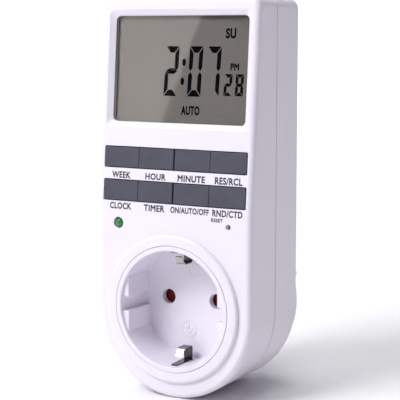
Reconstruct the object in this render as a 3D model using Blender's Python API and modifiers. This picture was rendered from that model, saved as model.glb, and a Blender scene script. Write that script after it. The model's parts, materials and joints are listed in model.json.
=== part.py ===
"""Plug-in programmable timer: a two-shell housing with a display, eight keys and a round
socket recess on the front, and a two-pin earthed plug on the back.

Run with: blender --background --python part.py

The origin is the centre of the plug face, +Y runs into the wall, +Z is up and the front
faces -Y. Sizes are in millimetres and MM turns them to metres. Inside the case_frame empty,
y is the depth behind the flat lower part of the front face. Inside the face_frame empty,
y is the depth behind the leaned-back upper part of the front face, and z runs up along it.
"""
import math

import bmesh
import bpy

MM = 0.001

# housing
BODY_WIDTH = 60.0
BODY_TOP = 104.2
TOP_CORNER = 4.0
ARC_CENTRE_Z = -2.3          # the round bottom end is struck a little below the socket
SEAM_DEPTH = 18.35           # joint between the two shells
BACK_DEPTH = 35.5
SHELL_WALL = 2.0
FRONT_WALL = 2.2
EDGE_ROUND = 1.9
FIT_GAP = 0.3

# the upper front leans back from a soft bend
BEND_Z = 32.5
BEND_RADIUS = 60.0
LEAN = math.radians(4.7)

# rear platform and plug
PAD_RADIUS = 28.4
PAD_DEPTH = 40.5
PLUG_RADIUS = 18.7
PLUG_BORE = 15.4
PLUG_FACE = 57.0
PLUG_FACE_WALL = 3.0
PIN_SPACING = 19.0
PIN_RADIUS = 2.4
PIN_LENGTH = 19.0

# socket recess
SOCKET_Z = -1.1              # the recess is struck a little below the line of the pins
RING_FRONT = -1.35
RING_RADIUS = 25.65
INSERT_RADIUS = 21.65
FLANGE_RADIUS = 23.0
RECESS_RADIUS = 20.13
RECESS_DEPTH = 15.0
RECESS_FLOOR = 2.5
HOLE_RADIUS = 2.6
GUIDE_X = 17.45
GUIDE_SLOT = 5.0
GUIDE_START = 1.2
CLIP_WIDTH = 3.2
CLIP_THICK = 0.5

# shutter
SHUTTER_FRONT = 16.6
SHUTTER_THICK = 2.2
SHUTTER_LOBE = 4.0
SHUTTER_TRAVEL = 7.0
SPRING_BOTTOM = 4.3
SPRING_TOP = 16.0
SPRING_RADIUS = 1.05
SPRING_WIRE = 0.3
SPRING_TURNS = 7
SPRING_STEPS = 8

# display
WINDOW_HALF_WIDTH = 25.85
WINDOW_LOW = 62.2
WINDOW_HIGH = 98.5
BEZEL_FLARE = 1.75
BEZEL_DEPTH = 1.2

# keys
KEY_ROWS = {"upper": 50.0, "lower": 38.6}
KEY_HEIGHT = 6.9
KEY_FIELD_HALF = 27.6
KEY_GAP = 0.3
KEY_MIDDLE_GAP = 0.5
KEY_NAMES = {
    "upper": ("key_day", "key_hour", "key_minute", "key_recall"),
    "lower": ("key_clock", "key_program", "key_mode", "key_random"),
}
KEY_TRAVEL = 0.8

# indicator and reset
LED_X, LED_Z, LED_RADIUS = -21.6, 27.2, 1.6
RESET_X, RESET_Z, RESET_RADIUS = 21.5, 28.7, 0.9
RESET_TRAVEL = 0.4

# boards
BOARD_FRONT = 8.0
BOARD_THICK = 1.6
POWER_FRONT = 29.6
POWER_HALF = 20.0
POWER_LOW = 33.0
POWER_HIGH = 97.0

# screws
CASE_SCREWS = [(-25.0, 57.0), (25.0, 57.0), (-17.6, -20.3), (17.6, -20.3)]
BOARD_SCREWS = [(-12.0, 57.4), (12.0, 57.4), (-10.0, 31.0), (10.0, 31.0)]
SCREW_CORE = 1.3
PILLAR_RADIUS = 2.6
BOSS_RADIUS = 4.2

FACE_SEGMENTS = 48
ROUND_SEGMENTS = 18
SMALL_SEGMENTS = 10

MATERIALS = {                # colour, roughness, metallic
    "white_shell": ((0.90, 0.89, 0.92), 0.32, 0.0),
    "slate_key": ((0.095, 0.092, 0.128), 0.45, 0.0),
    "red_shutter": ((0.075, 0.005, 0.006), 0.4, 0.0),
    "clear_window": ((0.75, 0.76, 0.76), 0.08, 0.0),
    "display_grey": ((0.25, 0.25, 0.23), 0.25, 0.0),
    "reflector": ((0.55, 0.56, 0.54), 0.4, 0.0),
    "rubber_grey": ((0.12, 0.12, 0.13), 0.7, 0.0),
    "frame_white": ((0.78, 0.78, 0.76), 0.5, 0.0),
    "board_green": ((0.02, 0.16, 0.06), 0.5, 0.0),
    "board_tan": ((0.42, 0.27, 0.10), 0.6, 0.0),
    "epoxy_black": ((0.01, 0.01, 0.012), 0.35, 0.0),
    "steel": ((0.56, 0.57, 0.58), 0.3, 1.0),
    "nickel": ((0.66, 0.64, 0.60), 0.25, 1.0),
    "brass": ((0.72, 0.50, 0.20), 0.3, 1.0),
    "led_green": ((0.03, 0.22, 0.07), 0.15, 0.0),
    "relay_blue": ((0.02, 0.07, 0.30), 0.35, 0.0),
    "film_yellow": ((0.60, 0.42, 0.05), 0.4, 0.0),
    "sleeve_black": ((0.015, 0.015, 0.018), 0.4, 0.0),
    "disc_blue": ((0.03, 0.12, 0.42), 0.35, 0.0),
    "ceramic_beige": ((0.55, 0.42, 0.26), 0.5, 0.0),
    "cell_green": ((0.05, 0.30, 0.13), 0.35, 0.0),
    "wire_brown": ((0.16, 0.05, 0.02), 0.45, 0.0),
    "wire_blue": ((0.02, 0.10, 0.42), 0.45, 0.0),
    "wire_black": ((0.02, 0.02, 0.02), 0.45, 0.0),
    "ribbon_grey": ((0.35, 0.36, 0.38), 0.5, 0.0),
}

for old in list(bpy.data.objects):
    bpy.data.objects.remove(old, do_unlink=True)

scene = bpy.context.scene
parts = bpy.data.collections.new("programmable_timer")
cutters = bpy.data.collections.new("cutters")
for collection in (parts, cutters):
    scene.collection.children.link(collection)


# ---------------------------------------------------------------- frames and placing

def add_frame(name, parent, location, lean=0.0):
    frame = bpy.data.objects.new(name, None)
    parts.objects.link(frame)
    frame.parent = parent
    frame.location = [value * MM for value in location]
    frame.rotation_euler = (-lean, 0.0, 0.0)
    return frame


case_frame = add_frame("case_frame", None, (0.0, -PLUG_FACE, 0.0))
face_frame = add_frame("face_frame", case_frame, (0.0, 0.0, BEND_Z), LEAN)


def add_material(name):
    colour, roughness, metallic = MATERIALS[name]
    material = bpy.data.materials.get(name) or bpy.data.materials.new(name)
    material.use_nodes = True
    shader = material.node_tree.nodes["Principled BSDF"]
    shader.inputs["Base Color"].default_value = (*colour, 1.0)
    shader.inputs["Roughness"].default_value = roughness
    shader.inputs["Metallic"].default_value = metallic
    return material


def place(obj, parent, location):
    obj.parent = parent
    obj.location = [value * MM for value in location]
    return obj


def move_to(obj, collection):
    for owner in list(obj.users_collection):
        owner.objects.unlink(obj)
    collection.objects.link(obj)
    return obj


def as_part(obj, name, material):
    """Names a finished piece and files it with the parts."""
    obj.name = name
    obj.data.name = name
    obj.data.materials.clear()
    obj.data.materials.append(add_material(material))
    return move_to(obj, parts)


def as_tool(obj, name):
    """Files a shape that only cuts or joins another."""
    obj.name = name
    obj.hide_render = True
    obj.display_type = "WIRE"
    return move_to(obj, cutters)


def combine(target, tool, operation):
    modifier = target.modifiers.new(operation.lower(), "BOOLEAN")
    modifier.operation = operation
    modifier.object = as_tool(tool, f"{target.name}_tool")
    return target


def cut(target, *tools):
    for tool in tools:
        combine(target, tool, "DIFFERENCE")
    return target


def join(target, *tools):
    for tool in tools:
        combine(target, tool, "UNION")
    return target


def bevel(obj, width, segments=2, angle=50.0):
    modifier = obj.modifiers.new("rounded_edges", "BEVEL")
    modifier.width = width * MM
    modifier.segments = segments
    modifier.limit_method = "ANGLE"
    modifier.angle_limit = math.radians(angle)
    return obj


def shade_round(obj, angle=35.0):
    obj.data.shade_smooth()
    obj.data.set_sharp_from_angle(angle=math.radians(angle))
    return obj


# ---------------------------------------------------------------- basic shapes

def box(low, high, parent=case_frame):
    """A box between two corners, with its scale applied."""
    size = [(b - a) * MM for a, b in zip(low, high)]
    bpy.ops.mesh.primitive_cube_add(size=1.0)
    obj = bpy.context.object
    obj.scale = size
    bpy.ops.object.transform_apply(location=False, rotation=False, scale=True)
    return place(obj, parent, [(a + b) / 2 for a, b in zip(low, high)])


def rod(radius, front, back, x=0.0, z=0.0, parent=case_frame, segments=ROUND_SEGMENTS):
    """A cylinder along the depth."""
    bpy.ops.mesh.primitive_cylinder_add(
        vertices=segments, radius=radius * MM, depth=(back - front) * MM
    )
    obj = place(bpy.context.object, parent, (x, (front + back) / 2, z))
    obj.rotation_euler = (math.pi / 2, 0.0, 0.0)
    return shade_round(obj)


def arc(centre, radius, start, end, steps):
    """Points on an arc, angles in degrees."""
    points = []
    for step in range(steps + 1):
        angle = math.radians(start + (end - start) * step / steps)
        points.append((centre[0] + radius * math.cos(angle), centre[1] + radius * math.sin(angle)))
    return points


def rounded_rectangle(half_width, low, high, radius, steps=4):
    corners = (
        (half_width - radius, low + radius, 270),
        (half_width - radius, high - radius, 0),
        (-half_width + radius, high - radius, 90),
        (-half_width + radius, low + radius, 180),
    )
    points = []
    for x, z, start in corners:
        points += arc((x, z), radius, start, start + 90, steps)
    return points


def outline_plate(outline, thickness):
    """A flat outline, filled and given its thickness as a 2D curve, then made a mesh."""
    curve = bpy.data.curves.new("outline", "CURVE")
    curve.dimensions = "2D"
    curve.fill_mode = "BOTH"
    curve.extrude = thickness / 2 * MM
    spline = curve.splines.new("POLY")
    spline.points.add(len(outline) - 1)
    for point, (across, up) in zip(spline.points, outline):
        point.co = (across * MM, up * MM, 0.0, 1.0)
    spline.use_cyclic_u = True
    obj = curve_to_mesh(curve)
    shape = bmesh.new()
    shape.from_mesh(obj.data)
    bmesh.ops.dissolve_limit(shape, angle_limit=math.radians(0.5), verts=shape.verts, edges=shape.edges)
    shape.to_mesh(obj.data)
    shape.free()
    return obj


def curve_to_mesh(curve):
    """Evaluates a curve, welds its caps on and drops the curve."""
    source = bpy.data.objects.new("curve", curve)
    scene.collection.objects.link(source)
    bpy.context.view_layer.update()
    mesh = bpy.data.meshes.new_from_object(source.evaluated_get(bpy.context.evaluated_depsgraph_get()))
    obj = bpy.data.objects.new("from_curve", mesh)
    obj.matrix_world = source.matrix_world
    scene.collection.objects.link(obj)
    bpy.data.objects.remove(source, do_unlink=True)
    shape = bmesh.new()
    shape.from_mesh(mesh)
    bmesh.ops.remove_doubles(shape, verts=shape.verts, dist=1e-6)
    bmesh.ops.recalc_face_normals(shape, faces=shape.faces)
    shape.to_mesh(mesh)
    shape.free()
    return obj


def plate(outline, front, back, parent=case_frame):
    """An outline seen from the front, (x, z), running from one depth to another."""
    obj = place(outline_plate(outline, back - front), parent, (0.0, (front + back) / 2, 0.0))
    obj.rotation_euler = (math.pi / 2, 0.0, 0.0)
    return obj


def side_profile(outline, left, right, parent=case_frame):
    """An outline seen from the side, (depth, z), running from left to right."""
    obj = place(outline_plate(outline, right - left), parent, ((left + right) / 2, 0.0, 0.0))
    obj.rotation_euler = (math.pi / 2, 0.0, math.pi / 2)
    return obj


def turned(profile, closed=False, segments=ROUND_SEGMENTS, x=0.0, z=0.0, parent=case_frame):
    """Turns (radius, depth) points about the depth axis. The profile runs front to back on
    its outer side; an open one starts and ends on the axis."""
    mesh = bpy.data.meshes.new("profile")
    shape = bmesh.new()
    verts = [shape.verts.new((radius * MM, 0.0, -depth * MM)) for radius, depth in profile]
    for start, end in zip(verts, verts[1:]):
        shape.edges.new((start, end))
    if closed:
        shape.edges.new((verts[-1], verts[0]))
    shape.to_mesh(mesh)
    shape.free()
    obj = bpy.data.objects.new("turned", mesh)
    scene.collection.objects.link(obj)
    screw = obj.modifiers.new("screw", "SCREW")
    screw.axis = "Z"
    screw.angle = math.tau
    screw.steps = segments
    screw.render_steps = segments
    screw.use_merge_vertices = True
    screw.merge_threshold = 1e-6
    screw.use_smooth_shade = True
    place(obj, parent, (x, 0.0, z))
    obj.rotation_euler = (math.pi / 2, 0.0, 0.0)
    return obj


def wire(name, material, radius, route):
    """A round wire on a straight-segment route, with filled ends."""
    curve = bpy.data.curves.new(name, "CURVE")
    curve.dimensions = "3D"
    curve.bevel_depth = radius * MM
    curve.bevel_resolution = 2
    curve.use_fill_caps = True
    spline = curve.splines.new("POLY")
    spline.points.add(len(route) - 1)
    for point, place_mm in zip(spline.points, route):
        point.co = (*[value * MM for value in place_mm], 1.0)
    obj = curve_to_mesh(curve)
    obj.parent = case_frame
    return as_part(obj, name, material)


def smooth_route(points, steps=4):
    """A Catmull-Rom curve through the points."""
    ends = [points[0]] + points + [points[-1]]
    route = []
    for i in range(len(points) - 1):
        a, b, c, d = ends[i:i + 4]
        for step in range(steps):
            t = step / steps
            route.append(tuple(
                0.5 * (2 * q + (r - p) * t + (2 * p - 5 * q + 4 * r - s) * t ** 2
                       + (3 * q - p - 3 * r + s) * t ** 3)
                for p, q, r, s in zip(a, b, c, d)
            ))
    return route + [points[-1]]


# ---------------------------------------------------------------- housing outlines

def body_outline(inset):
    """Front view of the housing: a round bottom end and small top corners."""
    half = BODY_WIDTH / 2 - inset
    corner = TOP_CORNER - inset
    top = BODY_TOP - inset
    points = arc((0.0, ARC_CENTRE_Z), half, 180, 360, FACE_SEGMENTS // 2)
    points += arc((half - corner, top - corner), corner, 0, 90, 4)
    points += arc((-half + corner, top - corner), corner, 90, 180, 4)
    return points


def front_envelope(inset, back):
    """Side view of everything behind the front face: upright below, leaned back above."""
    centre_z = BEND_Z - BEND_RADIUS * math.tan(LEAN / 2)
    bend = []
    for step in range(7):
        angle = LEAN * step / 6
        radius = BEND_RADIUS - inset
        bend.append((BEND_RADIUS - radius * math.cos(angle), centre_z + radius * math.sin(angle)))
    depth, height = bend[-1]
    rise = 112.0 - height
    top = (depth + rise * math.tan(LEAN), 112.0)
    return [(inset, -40.0)] + bend + [top, (back, 112.0), (back, -40.0)]


def depth_on_face(z):
    """How far the front face has leaned back at a height."""
    return max(0.0, (z - BEND_Z) * math.tan(LEAN))


# ---------------------------------------------------------------- enclosure

def make_front_housing():
    shell = plate(body_outline(0.0), -2.0, SEAM_DEPTH + 8.0)
    shell.name = "front_housing"
    combine(shell, side_profile(front_envelope(0.0, SEAM_DEPTH + 6.0), -40.0, 40.0), "INTERSECT")
    bevel(shell, EDGE_ROUND, segments=3)
    cavity = plate(body_outline(SHELL_WALL), -2.0, SEAM_DEPTH + 12.0)
    cavity.name = "front_cavity"
    combine(cavity, side_profile(front_envelope(FRONT_WALL, SEAM_DEPTH + 11.0), -40.0, 40.0), "INTERSECT")
    cut(
        shell,
        cavity,
        box((-40.0, SEAM_DEPTH - FIT_GAP / 2, -40.0), (40.0, SEAM_DEPTH + 20.0, 115.0)),
    )
    ring_inner = INSERT_RADIUS + FIT_GAP
    ring = turned(
        [(ring_inner - 1.0, RING_FRONT)]
        + [(RING_RADIUS - 1.2 + r, RING_FRONT + 1.2 + d) for r, d in arc((0.0, 0.0), 1.2, -90, 0, 4)]
        + [(RING_RADIUS, FRONT_WALL - 0.6), (ring_inner - 1.0, FRONT_WALL - 0.6)],
        closed=True,
        segments=FACE_SEGMENTS,
        z=SOCKET_Z,
    )
    join(shell, ring)
    for x, z in CASE_SCREWS:
        join(shell, rod(PILLAR_RADIUS, depth_on_face(z) + 1.2, SEAM_DEPTH - 0.6, x, z, segments=16))
    for x, z in BOARD_SCREWS:
        join(shell, rod(2.0, 1.2, BOARD_FRONT - FIT_GAP, x, z - BEND_Z, face_frame, 16))
    cut(shell, rod(ring_inner, -4.0, 5.0, z=SOCKET_Z, segments=FACE_SEGMENTS))
    for x, z in CASE_SCREWS:
        cut(shell, rod(SCREW_CORE + FIT_GAP, 8.0, SEAM_DEPTH + 1.0, x, z, segments=SMALL_SEGMENTS))
    for x, z in BOARD_SCREWS:
        cut(shell, rod(1.2, 3.2, BOARD_FRONT + 1.0, x, z - BEND_Z, face_frame, SMALL_SEGMENTS))
    cut(shell, bezel_cutter(), window_pocket_cutter())
    for centre in KEY_ROWS.values():
        opening = rounded_rectangle(27.9, centre - 3.75 - BEND_Z, centre + 3.75 - BEND_Z, 0.5, 2)
        cut(shell, plate(opening, -3.0, 5.0, face_frame))
    cut(shell, rod(LED_RADIUS + FIT_GAP, -3.0, 5.0, LED_X, LED_Z, segments=SMALL_SEGMENTS))
    cut(shell, rod(RESET_RADIUS, -3.0, 5.0, RESET_X, RESET_Z, segments=SMALL_SEGMENTS))
    for side in (-1, 1):
        cut(shell, box((side * 12.0 - 4.0, SEAM_DEPTH - 2.6, BODY_TOP - 3.2),
                       (side * 12.0 + 4.0, SEAM_DEPTH - 1.0, BODY_TOP - 1.2)))
    return as_part(shell, "front_housing", "white_shell")


def bezel_cutter():
    """Window opening: straight at the back and flared towards the front face."""
    flare = BEZEL_FLARE * 2
    low, high = WINDOW_LOW - BEND_Z, WINDOW_HIGH - BEND_Z
    middle = (low + high) / 2
    cutter = plate(rounded_rectangle(WINDOW_HALF_WIDTH, low - middle, high - middle, 1.8),
                   -BEZEL_DEPTH, 4.0, face_frame)
    grown_x = 1.0 + flare / WINDOW_HALF_WIDTH
    grown_z = 1.0 + flare / ((high - low) / 2)
    shape = bmesh.new()
    shape.from_mesh(cutter.data)
    bmesh.ops.bisect_plane(
        shape,
        geom=shape.verts[:] + shape.edges[:] + shape.faces[:],
        plane_co=(0.0, 0.0, cutter.location.y - BEZEL_DEPTH * MM),
        plane_no=(0.0, 0.0, 1.0),
    )
    front = [v for v in shape.verts if v.co.z > cutter.location.y + (BEZEL_DEPTH - 0.01) * MM]
    bmesh.ops.scale(shape, vec=(grown_x, grown_z, 1.0), verts=front)
    shape.to_mesh(cutter.data)
    shape.free()
    cutter.location.z = middle * MM
    return cutter


def window_pocket_cutter():
    low, high = WINDOW_LOW - 1.6 - BEND_Z, WINDOW_HIGH + 1.6 - BEND_Z
    return plate(rounded_rectangle(WINDOW_HALF_WIDTH + 1.45, low, high, 2.5), BEZEL_DEPTH, 3.5, face_frame)


def make_rear_housing():
    shell = plate(body_outline(0.0), SEAM_DEPTH - 8.0, BACK_DEPTH)
    shell.name = "rear_housing"
    bevel(shell, 1.2)
    pad = bevel(rod(PAD_RADIUS, BACK_DEPTH - 4.0, PAD_DEPTH, 0.0, ARC_CENTRE_Z, segments=FACE_SEGMENTS), 1.0)
    boss = bevel(rod(PLUG_RADIUS, PAD_DEPTH - 2.0, PLUG_FACE, segments=FACE_SEGMENTS), 0.8)
    join(shell, pad, boss)
    back_inside = BACK_DEPTH - SHELL_WALL
    pad_inside = PAD_DEPTH - SHELL_WALL
    cut(
        shell,
        box((-40.0, SEAM_DEPTH - 20.0, -40.0), (40.0, SEAM_DEPTH + FIT_GAP / 2, 115.0)),
        plate(body_outline(SHELL_WALL), SEAM_DEPTH - 12.0, back_inside),
        rod(PAD_RADIUS - SHELL_WALL, back_inside - 5.0, pad_inside, 0.0, ARC_CENTRE_Z, segments=48),
        rod(PLUG_BORE, pad_inside - 5.0, PLUG_FACE - PLUG_FACE_WALL, segments=48),
    )
    for x, z in CASE_SCREWS:
        behind = pad_inside + 0.6 if z < BEND_Z else back_inside + 0.6
        join(shell, rod(BOSS_RADIUS, SEAM_DEPTH + 0.6, behind, x, z, segments=20))
    outer = PAD_DEPTH + 4.0
    for x, z in CASE_SCREWS:
        seat = SEAM_DEPTH + 5.0
        cut(
            shell,
            rod(SCREW_CORE + FIT_GAP, SEAM_DEPTH - 2.0, outer, x, z, segments=SMALL_SEGMENTS),
            rod(3.0, seat, outer, x, z, segments=20),
        )
    for side in (-1, 1):
        cut(
            shell,
            box((side * 19.0 - 2.1, PAD_DEPTH, -2.6), (side * 19.0 + 2.1, PLUG_FACE + 2.0, 2.6)),
            box((-3.3, 42.1, side * 17.0 - 3.2), (3.3, 55.4, side * 17.0 + 3.2)),
            rod(PIN_RADIUS + FIT_GAP, PLUG_FACE - 6.0, PLUG_FACE + 2.0, side * PIN_SPACING / 2,
                segments=ROUND_SEGMENTS),
        )
    for z in (40.0, 90.0):
        join(shell, rod(2.0, POWER_FRONT + BOARD_THICK + FIT_GAP, back_inside + 0.6, 0.0, z, segments=16))
    for side in (-1, 1):
        hook = side_profile(
            [(SEAM_DEPTH - 2.4, BODY_TOP - 4.0), (SEAM_DEPTH - 2.4, BODY_TOP - 1.6),
             (SEAM_DEPTH - 1.6, BODY_TOP - 1.6), (SEAM_DEPTH - 1.2, BODY_TOP - 2.5),
             (SEAM_DEPTH + 1.0, BODY_TOP - 2.5), (SEAM_DEPTH + 1.8, BODY_TOP - 1.5),
             (SEAM_DEPTH + 4.0, BODY_TOP - 1.5), (SEAM_DEPTH + 4.0, BODY_TOP - 4.0)],
            side * 12.0 - 3.0, side * 12.0 + 3.0,
        )
        join(shell, hook)
    return as_part(shell, "rear_housing", "white_shell")


def make_case_screws():
    for number, (x, z) in enumerate(CASE_SCREWS, start=1):
        seat = SEAM_DEPTH + 5.0 + FIT_GAP
        screw = turned(
            [(0.0, 10.0), (0.5, 10.0), (SCREW_CORE, 12.0), (SCREW_CORE, seat), (2.6, seat),
             (2.6, seat + 1.0), (2.0, seat + 1.9), (0.0, seat + 1.9)],
            segments=12, x=x, z=z,
        )
        screw.name = f"case_screw_{number}"
        for turn in (0.0, math.pi / 2):
            slot = box((-1.6, -0.6, -0.25), (1.6, 0.6, 0.25))
            place(slot, case_frame, (x, seat + 1.9, z))
            slot.rotation_euler = (0.0, turn, 0.0)
            cut(screw, slot)
        as_part(screw, screw.name, "steel")


# ---------------------------------------------------------------- socket

def make_socket_insert():
    floor_front = RING_FRONT + RECESS_DEPTH
    floor_back = floor_front + RECESS_FLOOR
    insert = turned(
        [(0.0, floor_front), (RECESS_RADIUS - 0.25, floor_front), (RECESS_RADIUS, RING_FRONT + 0.35),
         (RECESS_RADIUS + 0.35, RING_FRONT), (INSERT_RADIUS, RING_FRONT), (INSERT_RADIUS, 2.5),
         (FLANGE_RADIUS, 2.5), (FLANGE_RADIUS, 4.3), (INSERT_RADIUS, 4.3), (INSERT_RADIUS, floor_back),
         (0.0, floor_back)],
        segments=FACE_SEGMENTS,
        z=SOCKET_Z,
    )
    insert.name = "socket_insert"
    for side in (-1, 1):
        segment = [(side * GUIDE_X, -9.6), (side * GUIDE_X, 9.6), (side * 18.0, 9.8),
                   (side * 19.6, 7.2), (side * 20.9, 0.0), (side * 19.6, -7.2), (side * 18.0, -9.8)]
        guide = plate([(x, z + SOCKET_Z) for x, z in segment], RING_FRONT + GUIDE_START, floor_front + 1.0)
        guide.name = f"guide_{side}"
        join(insert, guide)
        slot_left, slot_right = sorted((side * (GUIDE_X - 0.8), side * (RECESS_RADIUS - 0.3)))
        cut(insert, box((slot_left, RING_FRONT + 0.5, SOCKET_Z - GUIDE_SLOT / 2),
                        (slot_right, floor_front, SOCKET_Z + GUIDE_SLOT / 2)))
        cut(insert, rod(HOLE_RADIUS, floor_front - 1.0, floor_back + 1.0, side * PIN_SPACING / 2))
        slot_z = SOCKET_Z + side * 21.0
        cut(insert, box((-CLIP_WIDTH / 2 - FIT_GAP, 9.9, slot_z - 2.4),
                        (CLIP_WIDTH / 2 + FIT_GAP, 11.4, slot_z + 2.4)))
    return as_part(insert, "socket_insert", "white_shell")


def make_earth_clips():
    """Spring strips at the top and bottom of the recess. Each lies along the wall, rises and
    folds forward into the loop that the plug's earth contact rubs on."""
    for name, side in (("earth_clip_upper", 1), ("earth_clip_lower", -1)):
        t = CLIP_THICK
        wall = RECESS_RADIUS - 0.55
        path = [
            (1.2, wall), (10.4, wall), (10.4, wall + 3.2), (29.0, wall + 3.2), (29.0, wall + 3.2 - t),
            (10.4 + t, wall + 3.2 - t), (10.4 + t, wall - 5.0), (6.2, wall - 5.0), (4.4, wall - 2.0),
            (4.4 + t, wall - 1.8), (6.2 + 0.3, wall - 5.0 + t), (10.4, wall - 5.0 + t),
            (10.4, wall - t), (1.2, wall - t),
        ]
        clip = side_profile([(d, SOCKET_Z + side * z) for d, z in path], -CLIP_WIDTH / 2, CLIP_WIDTH / 2)
        as_part(clip, name, "nickel")


def make_earth_path():
    bridge = box((-CLIP_WIDTH / 2, 34.2, SOCKET_Z - 23.0), (CLIP_WIDTH / 2, 34.8, SOCKET_Z + 23.0))
    bridge.name = "earth_bridge"
    for side in (-1, 1):
        middle = SOCKET_Z + side * 22.4
        join(bridge, box((-CLIP_WIDTH / 2, 29.3, middle - 0.6), (CLIP_WIDTH / 2, 34.5, middle + 0.6)))
    as_part(bridge, "earth_bridge", "nickel")

    post = rod(1.4, 34.8 + FIT_GAP, 42.5 - FIT_GAP, segments=SMALL_SEGMENTS)
    as_part(post, "earth_post", "brass")

    reach, flat = 18.2, 0.8
    strap = side_profile(
        [(42.5, -reach), (55.0, -reach), (55.0, -reach + flat), (42.5 + flat, -reach + flat),
         (42.5 + flat, reach - flat), (55.0, reach - flat), (55.0, reach), (42.5, reach)],
        -3.0, 3.0,
    )
    as_part(strap, "plug_earth_strap", "nickel")


def make_shutter():
    back = SHUTTER_FRONT + SHUTTER_THICK
    half_pitch = PIN_SPACING / 2
    shutter = box((-half_pitch - 1.0, SHUTTER_FRONT, -2.6), (half_pitch + 1.0, back, SHUTTER_LOBE))
    shutter.name = "shutter"
    for side in (-1, 1):
        join(shutter, rod(SHUTTER_LOBE + 0.3, SHUTTER_FRONT, back, side * half_pitch))
    as_part(shutter, "shutter", "red_shutter")

    turns = []
    for step in range(SPRING_TURNS * SPRING_STEPS + 1):
        angle = math.tau * step / SPRING_STEPS
        rise = SPRING_BOTTOM + SPRING_WIRE + (SPRING_TOP - SPRING_BOTTOM - 2 * SPRING_WIRE) * (
            step / (SPRING_TURNS * SPRING_STEPS))
        turns.append((SPRING_RADIUS * math.cos(angle),
                      SHUTTER_FRONT + 1.1 + SPRING_RADIUS * math.sin(angle), rise))
    wire("shutter_spring", "steel", SPRING_WIRE / 2, turns)


def make_contact_carrier():
    carrier = plate(rounded_rectangle(17.4, -8.0, 18.6, 2.0), 19.4, 21.4)
    carrier.name = "contact_carrier"
    join(carrier, box((-2.4, 16.5, 16.3), (2.4, 20.0, 18.3)))
    for side in (-1, 1):
        half_pitch = side * PIN_SPACING / 2
        rail = sorted((side * 14.4, side * 16.4))
        join(carrier, box((rail[0], 16.5, -7.0), (rail[1], 20.0, 14.0)))
        join(carrier, box((half_pitch - 5.4, 20.5, -6.2), (half_pitch + 5.4, 32.0, 6.2)))
        cut(carrier, box((half_pitch - 4.2, 22.0, -5.0), (half_pitch + 4.2, 34.0, 5.0)))
        cut(carrier, rod(3.2, 18.0, 24.0, half_pitch))
    as_part(carrier, "contact_carrier", "frame_white")


def make_socket_contacts():
    for name, side in (("socket_contact_live", -1), ("socket_contact_neutral", 1)):
        x = side * PIN_SPACING / 2
        outline = [(x - 3.2, -4.0), (x - 2.6, -4.0), (x - 2.6, 3.9), (x + 2.6, 3.9), (x + 2.6, -4.0),
                   (x + 3.2, -4.0), (x + 3.2, 4.5), (x - 3.2, 4.5)]
        contact = plate(outline, 22.6, 31.5)
        contact.name = name
        join(contact, box((x - 1.5, 31.0, 3.9), (x + 1.5, 36.0, 4.5)))
        as_part(contact, name, "brass")


# ---------------------------------------------------------------- plug

def make_plug():
    tip = PLUG_FACE + PIN_LENGTH
    for name, side in (("plug_pin_live", -1), ("plug_pin_neutral", 1)):
        profile = [(0.0, 46.0), (PIN_RADIUS, 46.0), (PIN_RADIUS, 50.7), (3.6, 50.7), (3.6, 53.6),
                   (PIN_RADIUS, 53.6), (PIN_RADIUS, tip - 1.6)]
        profile += [(r, tip - 1.6 + d) for r, d in arc((PIN_RADIUS - 1.6, 0.0), 1.6, 22.5, 90, 3)]
        profile.append((0.0, tip))
        pin = turned(profile, segments=16, x=side * PIN_SPACING / 2)
        as_part(pin, name, "nickel")

    plate_back = 50.4
    carrier = rod(14.8, 47.2, plate_back, segments=32)
    carrier.name = "pin_carrier"
    for side in (-1, 1):
        cut(carrier, rod(PIN_RADIUS + FIT_GAP, 45.0, 52.0, side * PIN_SPACING / 2))
    as_part(carrier, "pin_carrier", "frame_white")


# ---------------------------------------------------------------- display and keys

def face_box(low, high):
    """A box whose corners are (x, depth, height along the face)."""
    return box((low[0], low[1], low[2] - BEND_Z), (high[0], high[1], high[2] - BEND_Z), face_frame)


def make_display():
    low, high = WINDOW_LOW, WINDOW_HIGH
    window = plate(rounded_rectangle(WINDOW_HALF_WIDTH + 1.15, low - 1.3 - BEND_Z, high + 1.3 - BEND_Z, 2.2),
                   1.5, 2.5, face_frame)
    as_part(window, "display_window", "clear_window")
    glass = plate(rounded_rectangle(WINDOW_HALF_WIDTH + 0.35, low - 0.45 - BEND_Z, high + 0.45 - BEND_Z, 1.0, 2),
                  2.8, 4.8, face_frame)
    as_part(glass, "lcd_glass", "display_grey")
    as_part(bevel(face_box((-25.4, 5.1, 66.0), (25.4, 6.1, 98.4)), 0.3, 1), "lcd_reflector", "reflector")
    as_part(bevel(face_box((-24.0, 5.1, 62.4), (24.0, 7.7, 64.8)), 0.4), "lcd_connector", "rubber_grey")
    frame = plate(rounded_rectangle(27.6, low - 1.5 - BEND_Z, high + 1.5 - BEND_Z, 3.0), 2.8, 7.7, face_frame)
    frame.name = "lcd_frame"
    inside = rounded_rectangle(26.6, low - 0.8 - BEND_Z, high + 0.8 - BEND_Z, 2.0)
    cut(frame, plate(inside, 1.0, 10.0, face_frame))
    as_part(frame, "lcd_frame", "frame_white")


def key_columns():
    """The left and right edge of each key in a row."""
    width = (2 * KEY_FIELD_HALF - KEY_MIDDLE_GAP - 2 * KEY_GAP) / 4
    inner = KEY_MIDDLE_GAP / 2
    outer = inner + width + KEY_GAP
    return [(-outer - width, -outer), (-inner - width, -inner), (inner, inner + width), (outer, outer + width)]


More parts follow.
